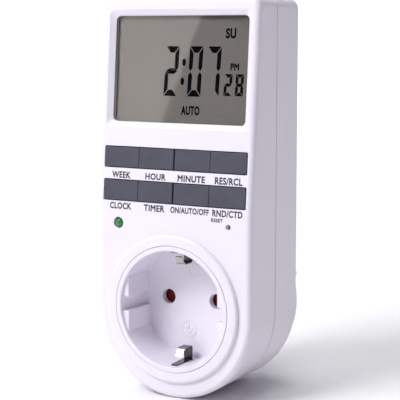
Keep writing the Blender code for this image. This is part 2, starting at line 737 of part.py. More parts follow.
def make_keys():
    for row, centre in KEY_ROWS.items():
        for name, (left, right) in zip(KEY_NAMES[row], key_columns()):
            middle, half = (left + right) / 2, (right - left) / 2
            outline = rounded_rectangle(half, -KEY_HEIGHT / 2, KEY_HEIGHT / 2, 0.35, 2)
            key = plate(outline, 0.0, 2.8, face_frame)
            key.name = name
            bevel(key, 0.25)
            place(key, face_frame, (middle, 1.4, centre - BEND_Z))
            flange = face_box((left, 2.5, centre - KEY_HEIGHT / 2 - 0.95),
                              (right, 3.4, centre + KEY_HEIGHT / 2 + 0.95))
            stem = rod(2.2, 3.0, 4.4, middle, centre - BEND_Z, face_frame, SMALL_SEGMENTS)
            join(key, flange, stem)
            as_part(key, name, "slate_key")

    membrane = face_box((-27.2, 6.9, 34.2), (27.2, 7.7, 54.4))
    membrane.name = "keypad_membrane"
    for centre in KEY_ROWS.values():
        for left, right in key_columns():
            dome = turned([(0.0, 5.5), (2.4, 5.5), (3.4, 7.3), (0.0, 7.3)], segments=16,
                          x=(left + right) / 2, z=centre - BEND_Z, parent=face_frame)
            join(membrane, dome)
    as_part(membrane, "keypad_membrane", "rubber_grey")


def make_indicator_and_reset():
    base = 4.6
    led = turned(arc((0.0, LED_RADIUS - 0.55), LED_RADIUS, -90, 0, 4)
                 + [(LED_RADIUS, base - 0.8), (LED_RADIUS + 0.35, base - 0.8), (LED_RADIUS + 0.35, base),
                    (0.0, base)],
                 segments=16, x=LED_X, z=LED_Z)
    as_part(led, "indicator_led", "led_green")
    for name, side in (("led_lead_left", -1), ("led_lead_right", 1)):
        x = LED_X + side * 1.27
        as_part(box((x - 0.25, base + FIT_GAP, LED_Z - 0.25), (x + 0.25, 7.0, LED_Z + 0.25)), name, "steel")

    switch = box((RESET_X - 3.0, 4.6, RESET_Z - 3.0), (RESET_X + 3.0, 7.0, RESET_Z + 3.0))
    switch.name = "reset_switch"
    cut(bevel(switch, 0.3, 1), rod(1.3, 4.0, 6.2, RESET_X, RESET_Z, segments=16))
    as_part(switch, "reset_switch", "epoxy_black")
    plunger = bevel(rod(1.0, 2.9, 5.6, RESET_X, RESET_Z, segments=16), 0.2, 1)
    as_part(plunger, "reset_button", "frame_white")


# ---------------------------------------------------------------- electronics

def make_control_board():
    low, high = 23.6 - BEND_Z, 99.0 - BEND_Z
    outline = [(26.2, low), (26.2, 99.0 - 4.0 - BEND_Z), (22.2, high), (-22.2, high),
               (-26.2, 99.0 - 4.0 - BEND_Z), (-26.2, low), (-14.5, low)]
    notch = [(-x, z) for x, z in arc((0.0, -BEND_Z), 24.8, 60, 120, 8)]
    outline += [(x, z) for x, z in notch if z > low]
    outline.append((14.5, low))
    board = plate(outline, BOARD_FRONT, BOARD_FRONT + BOARD_THICK, face_frame)
    board.name = "control_board"
    for x, z in CASE_SCREWS[:2]:
        cut(board, rod(PILLAR_RADIUS + 0.5, 0.0, 20.0, x, z, segments=16))
    for x, z in BOARD_SCREWS:
        cut(board, rod(1.3, 6.0, 12.0, x, z - BEND_Z, face_frame, SMALL_SEGMENTS))
    as_part(board, "control_board", "board_green")

    back = BOARD_FRONT + BOARD_THICK + FIT_GAP
    blob = turned([(0.0, back), (7.0, back), (6.4, back + 0.9), (4.0, back + 1.6), (0.0, back + 1.8)],
                  z=78.0 - BEND_Z, parent=face_frame)
    as_part(blob, "controller_chip", "epoxy_black")
    crystal = bevel(face_box((14.0, back, 66.0), (16.2, back + 2.0, 73.0)), 0.8)
    as_part(crystal, "clock_crystal", "steel")
    for number, (x, z) in enumerate(BOARD_SCREWS, start=1):
        screw = turned([(0.0, 4.4), (0.9, 4.4), (0.9, back), (1.9, back), (1.9, back + 0.7), (1.2, back + 1.2),
                        (0.0, back + 1.2)], segments=SMALL_SEGMENTS, x=x, z=z - BEND_Z, parent=face_frame)
        as_part(screw, f"board_screw_{number}", "steel")


def make_power_board():
    board = box((-POWER_HALF, POWER_FRONT, POWER_LOW), (POWER_HALF, POWER_FRONT + BOARD_THICK, POWER_HIGH))
    as_part(board, "power_board", "board_tan")
    front = POWER_FRONT - FIT_GAP
    as_part(bevel(box((-19.5, front - 15.0, 38.0), (-0.6, front, 53.6)), 0.6), "relay", "relay_blue")
    as_part(bevel(box((-19.0, front - 11.0, 62.5), (-1.0, front, 71.0)), 0.8), "dropper_capacitor", "film_yellow")
    cans = (("smoothing_capacitor", 4.0, 11.5, 46.0), ("reserve_capacitor", 3.1, 9.5, 58.0))
    for name, radius, height, z in cans:
        can = turned([(0.0, front - height), (radius - 0.4, front - height), (radius, front - height + 0.4),
                      (radius, front - 1.6), (radius - 0.3, front - 1.2), (radius, front - 0.8), (radius, front),
                      (0.0, front)], segments=20, x=11.0, z=z)
        as_part(can, name, "sleeve_black")
    as_part(bevel(box((6.5, front - 3.2, 66.0), (15.0, front, 72.5)), 0.5), "bridge_rectifier", "epoxy_black")
    varistor = rod(4.6, -1.8, 1.8, segments=20)
    place(varistor, case_frame, (12.0, front - 4.9, 79.5))
    varistor.rotation_euler = (0.0, math.pi / 2, 0.0)
    as_part(bevel(varistor, 0.8, 2), "varistor", "disc_blue")
    resistor = rod(1.7, -5.0, 5.0, segments=16)
    place(resistor, case_frame, (-10.0, front - 2.0, 78.0))
    resistor.rotation_euler = (0.0, math.pi / 2, 0.0)
    as_part(bevel(resistor, 0.5, 2), "dropper_resistor", "ceramic_beige")
    cell = turned([(0.0, front - 6.5), (6.2, front - 6.5), (6.6, front - 6.1), (6.6, front), (0.0, front)],
                  x=-10.0, z=88.0)
    as_part(cell, "backup_cell", "cell_green")


def make_wiring():
    pin_end = 45.1
    tail = 37.0
    half_pitch = PIN_SPACING / 2
    wire("wire_neutral", "wire_blue", 0.9, smooth_route(
        [(half_pitch, tail, 4.2), (half_pitch + 0.6, 41.0, 3.2), (half_pitch, pin_end, 0.0)]))
    wire("wire_live_in", "wire_brown", 0.9, smooth_route(
        [(-half_pitch, pin_end, 0.0), (-10.2, 42.0, 1.6), (-11.6, 37.4, 6.4), (-12.8, 33.6, 13.0),
         (-14.2, 31.0, 21.0), (-15.0, 30.4, 27.0), (-15.0, 30.4, POWER_LOW - 0.6)]))
    wire("wire_live_switched", "wire_black", 0.9, smooth_route(
        [(-half_pitch, tail, 4.2), (-8.4, 37.6, 7.6), (-7.0, 35.2, 13.0), (-6.6, 31.6, 20.0),
         (-6.6, 30.4, 26.0), (-6.6, 30.4, POWER_LOW - 0.6)]))
    front_d, back_d = depth_on_face(94.0) + BOARD_FRONT + BOARD_THICK + 0.6, POWER_FRONT - FIT_GAP
    upper, lower = [], []
    for step in range(9):
        share = step / 8
        depth = front_d + (back_d - front_d) * share
        sag = 2.4 * math.sin(math.pi * share)
        upper.append((depth, 94.6 - sag))
        lower.append((depth, 94.0 - sag))
    as_part(side_profile(upper + lower[::-1], -1.5, 13.5), "ribbon_cable", "ribbon_grey")


make_front_housing()
make_rear_housing()
make_case_screws()
make_socket_insert()
make_earth_clips()
make_earth_path()
make_shutter()
make_contact_carrier()
make_socket_contacts()
make_plug()
make_display()
make_keys()
make_indicator_and_reset()
make_control_board()
make_power_board()
make_wiring()
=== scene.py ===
import json
import math

import bmesh
import bpy
from mathutils import Matrix, Vector


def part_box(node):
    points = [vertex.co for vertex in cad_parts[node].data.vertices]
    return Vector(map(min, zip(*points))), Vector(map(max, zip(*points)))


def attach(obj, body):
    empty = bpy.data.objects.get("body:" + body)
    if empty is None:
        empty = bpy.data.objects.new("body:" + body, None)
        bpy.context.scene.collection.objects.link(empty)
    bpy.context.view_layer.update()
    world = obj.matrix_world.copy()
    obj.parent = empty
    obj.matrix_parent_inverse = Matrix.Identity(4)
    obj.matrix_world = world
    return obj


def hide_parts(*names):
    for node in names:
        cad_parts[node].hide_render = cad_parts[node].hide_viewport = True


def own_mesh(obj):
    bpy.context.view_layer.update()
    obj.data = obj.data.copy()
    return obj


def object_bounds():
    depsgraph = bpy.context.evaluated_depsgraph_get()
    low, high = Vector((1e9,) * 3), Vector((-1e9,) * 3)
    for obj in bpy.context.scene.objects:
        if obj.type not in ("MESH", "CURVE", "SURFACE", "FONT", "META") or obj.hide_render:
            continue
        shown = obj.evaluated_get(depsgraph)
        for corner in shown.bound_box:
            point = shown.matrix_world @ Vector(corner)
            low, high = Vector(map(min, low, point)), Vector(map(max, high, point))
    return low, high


# A plug-in programmable timer. Pieces are drawn flat, as seen from the front, in millimetres:
# x to the right, y up, z standing out of the face, and a plane then puts them in place.

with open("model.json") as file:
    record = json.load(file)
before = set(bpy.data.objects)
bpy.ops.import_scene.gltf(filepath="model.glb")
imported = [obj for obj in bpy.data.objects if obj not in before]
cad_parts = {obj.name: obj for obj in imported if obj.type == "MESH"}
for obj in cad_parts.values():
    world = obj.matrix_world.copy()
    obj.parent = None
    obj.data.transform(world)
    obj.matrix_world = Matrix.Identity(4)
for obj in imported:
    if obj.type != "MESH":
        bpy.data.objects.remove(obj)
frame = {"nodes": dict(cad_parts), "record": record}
cadBounds = [list(corner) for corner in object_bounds()]
nodes = frame["nodes"]
slotOf = {part["node"]: part["material_slot"] for part in frame["record"]["subparts"]}
print("Frame loaded with", len(nodes), "parts")

mm = 0.001
housing = {
    "ringProud": 1.35,       # the socket ring stands this far out of the front face
    "bendHeight": 32.5,      # where the front starts to lean back
    "bendRadius": 60.0,
    "lean": math.radians(4.7),
    "arcCentre": -2.3,       # the round bottom end is struck a little below the socket
    "socketAt": -1.1,        # and the socket a little below the line of the pins
    "topCorner": 4.0,
    "frontEdge": 1.9,
    "backEdge": 1.2,
    "seamEdge": 0.12,
    "frontWall": 2.2,
    "wall": 2.0,
    "arcSteps": 160,
    "bendSteps": 10,
}

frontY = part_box("front_housing")[0].y + housing["ringProud"] * mm
uprightPlane = (Matrix.Translation((0.0, frontY, 0.0)) @ Matrix.Rotation(math.pi / 2, 4, "X")
                @ Matrix.Scale(mm, 4))
lyingBack = Matrix.Translation((0.0, housing["bendHeight"], 0.0)) @ Matrix.Rotation(-housing["lean"], 4, "X")
leanedPlane = uprightPlane @ lyingBack


def spanOf(node, plane=uprightPlane):
    # lowest and highest corner of a part on a drawing plane, in millimetres
    toPlane = plane.inverted()
    points = [toPlane @ v.co for v in nodes[node].data.vertices]
    low = Vector([min(p[i] for p in points) for i in range(3)])
    high = Vector([max(p[i] for p in points) for i in range(3)])
    return low, high


shellLow, shellHigh = spanOf("front_housing")
rearLow = spanOf("rear_housing")[0]
halfWidth = shellHigh.x
topHeight = shellHigh.y


def centreOf(low, high):
    return (low.x + high.x) / 2, (low.y + high.y) / 2


def vertsIn(result):
    return [item for item in result["geom"] if isinstance(item, bmesh.types.BMVert)]


def roundEdges(bm, edges, width, steps=4):
    bmesh.ops.bevel(bm, geom=edges, offset=width, offset_type="OFFSET", segments=steps, profile=0.5,
                    affect="EDGES", material=-1)


def rimOf(bm, z, reach=1e-3):
    # the edges round a flat end, where it meets the sides
    def flatEnd(face):
        return abs(face.normal.z) > 0.9 and all(abs(v.co.z - z) < reach for v in face.verts)
    bm.normal_update()
    return [e for e in bm.edges if sum(flatEnd(f) for f in e.link_faces) == 1
            and all(abs(v.co.z - z) < reach for v in e.verts)]


def circleRim(bm, radius, z, centre=(0.0, 0.0), reach=2e-3):
    def onCircle(v):
        fromCentre = math.hypot(v.co.x - centre[0], v.co.y - centre[1])
        return abs(fromCentre - radius) < reach and abs(v.co.z - z) < reach
    return [e for e in bm.edges if all(onCircle(v) for v in e.verts)]


def drawOut(bm, face, rise, grow=0.0):
    # extrudes a flat end and may widen it all round
    closesSolid = any(len(e.link_faces) > 1 for e in face.edges)
    made = bmesh.ops.extrude_face_region(bm, geom=[face])
    if closesSolid:
        bmesh.ops.delete(bm, geom=[face], context="FACES_ONLY")
    verts = vertsIn(made)
    cap = next(item for item in made["geom"] if isinstance(item, bmesh.types.BMFace))
    bmesh.ops.translate(bm, verts=verts, vec=(0.0, 0.0, rise))
    if grow:
        xs, ys = [v.co.x for v in verts], [v.co.y for v in verts]
        middle = Vector(((min(xs) + max(xs)) / 2, (min(ys) + max(ys)) / 2, 0.0))
        wider = [1 + 2 * grow / (max(values) - min(values)) for values in (xs, ys)]
        bmesh.ops.scale(bm, vec=(*wider, 1.0), space=Matrix.Translation(-middle), verts=verts)
    return cap


def roundedFace(bm, low, high, radius, z, steps=6):
    places = ((low[0], low[1]), (high[0], low[1]), (high[0], high[1]), (low[0], high[1]))
    corners = [bm.verts.new((x, y, z)) for x, y in places]
    face = bm.faces.new(corners)
    if radius:
        made = bmesh.ops.bevel(bm, geom=corners, offset=radius, segments=steps, profile=0.5,
                               affect="VERTICES", material=-1)
        face = made["verts"][0].link_faces[0]
    return face


def roundFace(bm, radius, z, centre=(0.0, 0.0), steps=48):
    made = bmesh.ops.create_circle(bm, cap_ends=True, radius=radius, segments=steps)
    bmesh.ops.translate(bm, verts=made["verts"], vec=(centre[0], centre[1], z))
    return made["verts"][0].link_faces[0]


def block(bm, low, high, radius=0.0):
    # a block between two corners, its upright corners rounded
    drawOut(bm, roundedFace(bm, low, high, radius, low[2]), high[2] - low[2])


def rod(bm, radius, low, high, centre=(0.0, 0.0), steps=48):
    drawOut(bm, roundFace(bm, radius, low, centre, steps), high - low)


def tube(bm, inner, outer, low, high, centre, steps=32):
    turn(bm, [(inner, low), (outer, low), (outer, high), (inner, high)], steps, centre, closed=True)


def flareOut(bm, face, lip, steps=5):
    # an opening's edge is rounded over by its cutter, which flares in a quarter turn
    for step in range(steps):
        start, end = (math.pi / 2 * (step + i) / steps for i in (0, 1))
        rise, grow = math.sin(end) - math.sin(start), math.cos(start) - math.cos(end)
        face = drawOut(bm, face, lip * rise, lip * grow)
    return drawOut(bm, face, 1.0)


def turn(bm, profile, steps, centre=(0.0, 0.0), closed=False):
    # turns (radius, z) points about an axis that stands out of the face
    verts = [bm.verts.new((centre[0] + r, centre[1], z)) for r, z in profile]
    edges = [bm.edges.new(pair) for pair in zip(verts, verts[1:])]
    if closed:
        edges.append(bm.edges.new((verts[-1], verts[0])))
    made = bmesh.ops.spin(bm, geom=verts + edges, cent=(*centre, 0.0), axis=(0.0, 0.0, 1.0),
                          angle=math.tau, steps=steps, use_merge=True)
    bmesh.ops.remove_doubles(bm, verts=bm.verts, dist=1e-4)
    return made


def tidy(bm):
    bmesh.ops.remove_doubles(bm, verts=bm.verts, dist=1e-4)
    bmesh.ops.recalc_face_normals(bm, faces=bm.faces)
    return bm


def addObject(name, data):
    made = bpy.data.objects.new(name, data)
    bpy.context.scene.collection.objects.link(made)
    return made


def temporary(bm, name):
    mesh = bpy.data.meshes.new(name)
    tidy(bm).to_mesh(mesh)
    bm.free()
    return addObject(name, mesh)


def evaluatedMesh(source):
    bpy.context.view_layer.update()
    return bpy.data.meshes.new_from_object(source.evaluated_get(bpy.context.evaluated_depsgraph_get()))


def sliceOff(bm, at, away, clear=True, reach=1e-5):
    bmesh.ops.bisect_plane(bm, geom=bm.verts[:] + bm.edges[:] + bm.faces[:], dist=reach, plane_co=at,
                           plane_no=away, clear_outer=clear)


def graft(bm, extra):
    # adds a second shape's faces to the first one's
    mesh = bpy.data.meshes.new("extra")
    extra.to_mesh(mesh)
    extra.free()
    bm.from_mesh(mesh)


def carve(bm, tools):
    # joins solids to a solid or cuts them out of it, one after another
    body = temporary(bm, "blank")
    helpers = []
    for operation, tool in tools:
        helper = temporary(tool, "tool")
        helpers.append(helper)
        modifier = body.modifiers.new(operation, "BOOLEAN")
        modifier.operation = operation
        modifier.solver = "EXACT"
        modifier.object = helper
    carved = bmesh.new()
    carved.from_mesh(evaluatedMesh(body))
    for used in [body, *helpers]:
        bpy.data.objects.remove(used, do_unlink=True)
    bmesh.ops.dissolve_degenerate(carved, edges=carved.edges, dist=1e-4)
    return carved


def finishPiece(bm, name, plane, material, body="case", stands=(), sharp=32.0):
    # places a finished shape, smooths it up to its sharp edges and hands it to its body
    bmesh.ops.transform(bm, matrix=plane, verts=bm.verts)
    mesh = bpy.data.meshes.new(name)
    bm.to_mesh(mesh)
    bm.free()
    piece = addObject(name, mesh)
    mesh.materials.append(material)
    mesh.shade_smooth()
    mesh.set_sharp_from_angle(angle=math.radians(sharp))
    evenShade = piece.modifiers.new("evenShade", "WEIGHTED_NORMAL")
    evenShade.keep_sharp = True
    if stands:
        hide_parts(*stands)
    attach(piece, body)
    return piece


def linear(hexColour):
    values = [int(hexColour[i:i + 2], 16) / 255 for i in (1, 3, 5)]
    return [v / 12.92 if v <= 0.04045 else ((v + 0.055) / 1.055) ** 2.4 for v in values] + [1.0]


def addNode(tree, kind, inputs=None, **settings):
    # inputs take a value or another node's output
    made = tree.nodes.new("ShaderNode" + kind)
    for key, value in settings.items():
        setattr(made, key, value)
    for socket, value in (inputs or {}).items():
        if isinstance(value, bpy.types.NodeSocket):
            tree.links.new(value, made.inputs[socket])
        else:
            made.inputs[socket].default_value = value
    return made


def newMaterial(name, **constants):
    material = bpy.data.materials.new(name)
    material.use_nodes = True
    shader = material.node_tree.nodes["Principled BSDF"]
    for socket, value in constants.items():
        shader.inputs[socket.replace("_", " ")].default_value = value
    return material, material.node_tree, shader


def objectPlace(tree, stretch=(1.0, 1.0, 1.0)):
    place = addNode(tree, "TexCoord").outputs["Object"]
    return addNode(tree, "Mapping", {"Vector": place, "Scale": stretch}).outputs["Vector"]


def blended(tree, factor, low, high):
    ramp = addNode(tree, "ValToRGB", {"Fac": factor})
    ramp.color_ramp.elements[0].position, ramp.color_ramp.elements[1].position = 0.3, 0.7
    ramp.color_ramp.elements[0].color, ramp.color_ramp.elements[1].color = linear(low), linear(high)
    return ramp.outputs["Color"]


def spread(tree, factor, low, high):
    return addNode(tree, "MapRange", {"Value": factor, "From Min": 0.3, "From Max": 0.7,
                                      "To Min": low, "To Max": high}).outputs["Result"]


def noise(tree, size, detail=2.0, stretch=(1.0, 1.0, 1.0), roughness=0.5):
    # a cloudy pattern with patches of about this size in mm
    inputs = {"Vector": objectPlace(tree, stretch), "Scale": 1 / (size * mm), "Detail": detail,
              "Roughness": roughness}
    return addNode(tree, "TexNoise", inputs).outputs["Fac"]


def mixed(tree, factor, first, second):
    inputs = {"Factor": factor, "A": first, "B": second}
    return addNode(tree, "Mix", inputs, data_type="RGBA").outputs["Result"]


def skin(tree, shader, tint, gloss):
    tree.links.new(tint, shader.inputs["Base Color"])
    tree.links.new(gloss, shader.inputs["Roughness"])


def relief(tree, shader, height, depth, strength=1.0):
    bump = addNode(tree, "Bump", {"Height": height, "Distance": depth * mm, "Strength": strength})
    tree.links.new(bump.outputs["Normal"], shader.inputs["Normal"])


def mouldedPlastic(name, dark, light, gloss, grain, depth, cloud=14.0, **constants):
    # grain: size of the tool's spark texture in mm; depth: its height in mm; cloud: size of
    # the slow changes in gloss and tint that cooling leaves, in mm
    material, tree, shader = newMaterial(name, **constants)
    slow = noise(tree, cloud, 3.0)
    skin(tree, shader, blended(tree, slow, dark, light), spread(tree, slow, *gloss))
    relief(tree, shader, noise(tree, grain, 4.0, roughness=0.6), depth, 0.6)
    return material


def rolledMetal(name, dark, light, gloss, stretch, line=0.12, depth=0.004, tarnish=3.0):
    # drawn or rolled stock: fine lines along the way it was worked, and clouds of dull plating
    material, tree, shader = newMaterial(name, Metallic=1.0)
    lines = noise(tree, line, 3.0, stretch)
    dull = noise(tree, tarnish, 4.0)
    skin(tree, shader, blended(tree, dull, dark, light), spread(tree, lines, *gloss))
    relief(tree, shader, lines, depth, 0.5)
    return material


# ABS moulded in a polished tool: a bright satin skin with the faintest orange peel
whiteAbs = mouldedPlastic("white_abs_satin_moulded", "#EEE9F5", "#F0EBF7", (0.28, 0.31), 0.9, 0.004,
                          IOR=1.53, Specular_IOR_Level=0.5)
# the socket well comes from a second tool with a slightly duller finish
wellAbs = mouldedPlastic("white_abs_well_moulded", "#EDE8F4", "#F0EBF7", (0.36, 0.4), 0.5, 0.004,
                         IOR=1.53)
# ABS in a spark-eroded tool: the keys scatter light in a soft even sheen
slateAbs = mouldedPlastic("slate_abs_spark_textured", "#434251", "#4A4959", (0.5, 0.6), 0.28, 0.012,
                          cloud=6.0, IOR=1.53)
# polycarbonate shutter: a deep red brown, almost black down in the holes
redShutter = mouldedPlastic("oxblood_polycarbonate_moulded", "#5A090F", "#6E0D14", (0.3, 0.4), 0.6,
                            0.004, cloud=3.0, IOR=1.58, Specular_IOR_Level=0.15)
# polyamide inner frames, off-white and waxy
nylonFrame = mouldedPlastic("natural_nylon_moulded", "#D6D5CD", "#E2E1DA", (0.45, 0.56), 0.4, 0.008,
                            IOR=1.53)
# transfer-moulded epoxy: charcoal with a fine dusty grain
blackEpoxy = mouldedPlastic("black_epoxy_moulded", "#141416", "#1D1D20", (0.4, 0.55), 0.2, 0.008,
                            cloud=2.0, IOR=1.55)
# the smaller plastic and lacquered parts inside: name, tints, gloss, grain, depth and refraction
innerPlastics = {
    # silicone rubber key mat and zebra strip
    "rubber": ("grey_silicone_pressed", "#323236", "#3D3D42", (0.62, 0.75), 0.3, 0.01, 1.41),
    "relay": ("blue_pbt_relay_cover", "#1A4690", "#2150A0", (0.32, 0.42), 0.5, 0.005, 1.57),
    # dipped epoxy: thick glossy skin that pools into soft waves
    "film": ("yellow_epoxy_dipped", "#C99A26", "#DDB03A", (0.12, 0.22), 2.5, 0.06, 1.55),
    "disc": ("blue_epoxy_dipped", "#2B5FA6", "#3970BA", (0.14, 0.24), 2.0, 0.05, 1.55),
    "sleeve": ("black_pvc_shrink_sleeve", "#17171B", "#202026", (0.22, 0.34), 1.2, 0.01, 1.53),
    "resistor": ("beige_ceramic_lacquered", "#C2A67C", "#D1B68E", (0.4, 0.55), 0.25, 0.01, 1.6),
    "cell": ("green_heat_shrink_wrap", "#2A8A4F", "#349C5C", (0.25, 0.36), 1.0, 0.008, 1.53),
    "wire_blue": ("blue_pvc_wire_cover", "#1F55A8", "#2A62B6", (0.38, 0.48), 0.4, 0.006, 1.53),
    "wire_brown": ("brown_pvc_wire_cover", "#5E3420", "#6C3E28", (0.38, 0.48), 0.4, 0.006, 1.53),
    "wire_black": ("black_pvc_wire_cover", "#1B1B1D", "#252528", (0.38, 0.48), 0.4, 0.006, 1.53),
}
# foil-faced card behind the display
silverCard = mouldedPlastic("silver_foil_card", "#B4B5B1", "#C6C7C3", (0.3, 0.45), 0.3, 0.01,
                            Metallic=0.6)
# zinc-plated fasteners, cold silver with a dull bloom
zincSteel = rolledMetal("zinc_plated_steel_turned", "#A9ABAE", "#C4C6C9", (0.26, 0.4),
                        (1.0, 6.0, 1.0))
# nickel over spring strip, darkened as painted shade: glossy, with rolling lines along its length
nickelStripPaintedShade = rolledMetal("nickel_strip_rolled_painted_shade", "#4A4750", "#5C5862", (0.2, 0.3),
                          (6.0, 1.0, 1.0))
# the same strip in a lighter copy: a painted highlight on the earth clips' tabs, beside the darker copy's
# painted shade
nickelStripPaintedHighlight = rolledMetal("nickel_strip_rolled_painted_highlight", "#B9B5AC", "#CBC8C0", (0.22, 0.32),
                          (6.0, 1.0, 1.0))
# nickel-plated brass pins, warm silver with rings from the lathe
nickelPin = rolledMetal("nickel_plated_brass_turned", "#BDB8AE", "#D2CDC4", (0.14, 0.26),
                        (1.0, 8.0, 1.0))
brassStrip = rolledMetal("brass_strip_stamped", "#B8913F", "#CFA653", (0.22, 0.36), (4.0, 1.0, 1.0))


def makeAcrylic():
    # polished acrylic under an anti-glare coating: clear, hardly mirrors, with faint hairline scratches
    material, tree, shader = newMaterial("clear_acrylic_polished", IOR=1.12, Transmission_Weight=1.0)
    haze = noise(tree, 3.0, 5.0, (1.0, 1.0, 5.0))
    skin(tree, shader, blended(tree, haze, "#F4F5F5", "#FBFCFC"), spread(tree, haze, 0.0, 0.006))
    return material


def makeDisplayGlass():
    # liquid-crystal cell under a grey polariser: dull olive grey, with a faint fibre in the film
    material, tree, shader = newMaterial("grey_polariser_on_glass", IOR=1.5, Metallic=0.6)
    fibre = noise(tree, 0.6, 4.0, (1.0, 1.0, 4.0))
    tint = blended(tree, noise(tree, 18.0), "#8E8884", "#938D88")
    speck = mixed(tree, spread(tree, fibre, 0.0, 0.25), tint, linear("#827C78"))
    skin(tree, shader, speck, spread(tree, fibre, 0.012, 0.03))
    return material


def makeSolderMask():
    # green solder mask: glossy lacquer, lighter where copper tracks lie under it
    material, tree, shader = newMaterial("green_solder_mask_lacquered", IOR=1.5, Coat_Weight=0.3)
    tracks = addNode(tree, "TexBrick", {"Vector": objectPlace(tree), "Scale": 1 / (4.0 * mm),
                                        "Mortar Size": 0.03, "Brick Width": 1.6,
                                        "Row Height": 0.4}).outputs["Fac"]
    base = mixed(tree, tracks, linear("#17512B"), linear("#2B7A44"))
    skin(tree, shader, base, spread(tree, noise(tree, 0.5), 0.28, 0.4))
    return material


def makeLaminate():
    # bare paper laminate: tan with short brown fibres
    material, tree, shader = newMaterial("tan_paper_laminate_pressed", IOR=1.5)
    fibre = noise(tree, 0.8, 6.0, (3.0, 1.0, 1.0))
    skin(tree, shader, blended(tree, fibre, "#A57C45", "#C2995F"), spread(tree, fibre, 0.5, 0.65))
    return material


def makeRibbon():
    # flat ribbon: grey conductors moulded side by side, so it shows ridges 1.27 mm apart
    material, tree, shader = newMaterial("grey_pvc_ribbon_extruded", IOR=1.53)
    pitch = 1.27 * mm
    ridges = addNode(tree, "TexWave", {"Vector": objectPlace(tree), "Scale": 1 / pitch / 20.0 * math.tau},
                     wave_profile="SIN").outputs["Fac"]
    skin(tree, shader, blended(tree, ridges, "#8A8C91", "#A2A4A9"), spread(tree, ridges, 0.42, 0.55))
    relief(tree, shader, ridges, 0.2)
    return material


def makeLampEpoxy():
    # tinted epoxy dome: deep green rim, brighter where the light gathers in it
    material, tree, shader = newMaterial("green_epoxy_cast_dome", IOR=1.55, Coat_Weight=0.6,
                                         Subsurface_Weight=0.25, Subsurface_Scale=0.8 * mm,
                                         Coat_Roughness=0.04)
    depthInLens = addNode(tree, "LayerWeight", {"Blend": 0.45}).outputs["Facing"]
    tint = blended(tree, noise(tree, 0.5), "#1F7A3C", "#2C8C49")
    skin(tree, shader, tint, spread(tree, depthInLens, 0.1, 0.2))
    return material


def makeInk(name, dark, light, gleam=0.5):
    # pad-printed ink: a thin matt film, a little starved at the edges
    material, tree, shader = newMaterial(name, IOR=1.5, Specular_IOR_Level=gleam)
    starved = noise(tree, 0.25, 3.0)
    skin(tree, shader, blended(tree, starved, dark, light), spread(tree, starved, 0.45, 0.65))
    return material


acrylic = makeAcrylic()
displayGlass = makeDisplayGlass()
lampEpoxy = makeLampEpoxy()
legendInk = makeInk("charcoal_pad_print", "#26252D", "#33323B", 0.3)
segmentBlack = makeInk("switched_liquid_crystal", "#050508", "#0A0A0F", 0.0)

slotFinish = {
    "shell": whiteAbs, "key": slateAbs, "shutter": redShutter, "window": acrylic, "lcd": displayGlass,
    "reflector": silverCard, "inner_plastic": nylonFrame, "board_green": makeSolderMask(),
    "board_tan": makeLaminate(), "epoxy": blackEpoxy, "steel": zincSteel, "spring_strip": nickelStripPaintedShade,
    "pin_nickel": nickelPin, "brass": brassStrip, "led": lampEpoxy, "ribbon": makeRibbon(),
}
for slot, (*look, refraction) in innerPlastics.items():
    slotFinish[slot] = mouldedPlastic(*look, IOR=refraction)
for name, node in nodes.items():
    for place in node.material_slots:
        place.material = slotFinish[slotOf[name]]
print("Finishes made:", len(slotFinish))


bendHalf = housing["bendRadius"] * math.tan(housing["lean"] / 2)
bendStart = housing["bendHeight"] - bendHalf
bendRise = housing["bendRadius"] * math.sin(housing["lean"])


def leanAt(y):
    # how far the face has leaned back at a height
    if y <= bendStart:
        return 0.0
    if y < bendStart + bendRise:
        return housing["bendRadius"] - math.sqrt(housing["bendRadius"] ** 2 - (y - bendStart) ** 2)
    flat = housing["bendRadius"] * (1 - math.cos(housing["lean"]))
    return flat + (y - bendStart - bendRise) * math.tan(housing["lean"])


def onFace(x, along, proud=0.0):
    # a point at a distance along the face, which is flat, then bent, then leaned back
    past = min(max(along - bendStart, 0.0), 2 * bendHalf)
    angle = housing["lean"] * past / (2 * bendHalf)
    beyond = max(along - bendStart - 2 * bendHalf, 0.0)
    y = min(along, bendStart) + housing["bendRadius"] * math.sin(angle) + beyond * math.cos(angle)
    back = housing["bendRadius"] * (1 - math.cos(angle)) + beyond * math.sin(angle)
    return Vector((x, y + proud * math.sin(angle), proud * math.cos(angle) - back))


def housingBlank(inset, front, back, leaned=False):
    # the outline, round at the bottom and squared at the top, drawn out from back to front
    bm = bmesh.new()
    roundFace(bm, halfWidth - inset, 0.0, steps=housing["arcSteps"])
    sliceOff(bm, (0.0, 0.0, 0.0), (0.0, 1.0, 0.0), reach=1e-4)
    flat = [e for e in bm.edges if all(abs(v.co.y) < 1e-3 for v in e.verts)]
    corners = vertsIn(bmesh.ops.extrude_edge_only(bm, edges=flat))
    bmesh.ops.translate(bm, verts=corners, vec=(0.0, topHeight - inset - housing["arcCentre"], 0.0))
    bmesh.ops.dissolve_edges(bm, edges=flat)
    bmesh.ops.bevel(bm, geom=corners, offset=housing["topCorner"] - inset, segments=8, profile=0.5,
                    affect="VERTICES", material=-1)
    bmesh.ops.translate(bm, verts=bm.verts, vec=(0.0, housing["arcCentre"], front))
    if leaned:
        for step in range(housing["bendSteps"] + 1):
            height = bendStart + bendRise * step / housing["bendSteps"]
            sliceOff(bm, (0.0, height, 0.0), (0.0, 1.0, 0.0), clear=False)
    made = bmesh.ops.extrude_face_region(bm, geom=bm.faces[:])
    bmesh.ops.translate(bm, verts=vertsIn(made), vec=(0.0, 0.0, back - front))
    tidy(bm)
    return bm


def leanBack(bm, front):
    for v in bm.verts:
        if abs(v.co.z - front) < 1e-3:
            v.co.z -= leanAt(v.co.y)


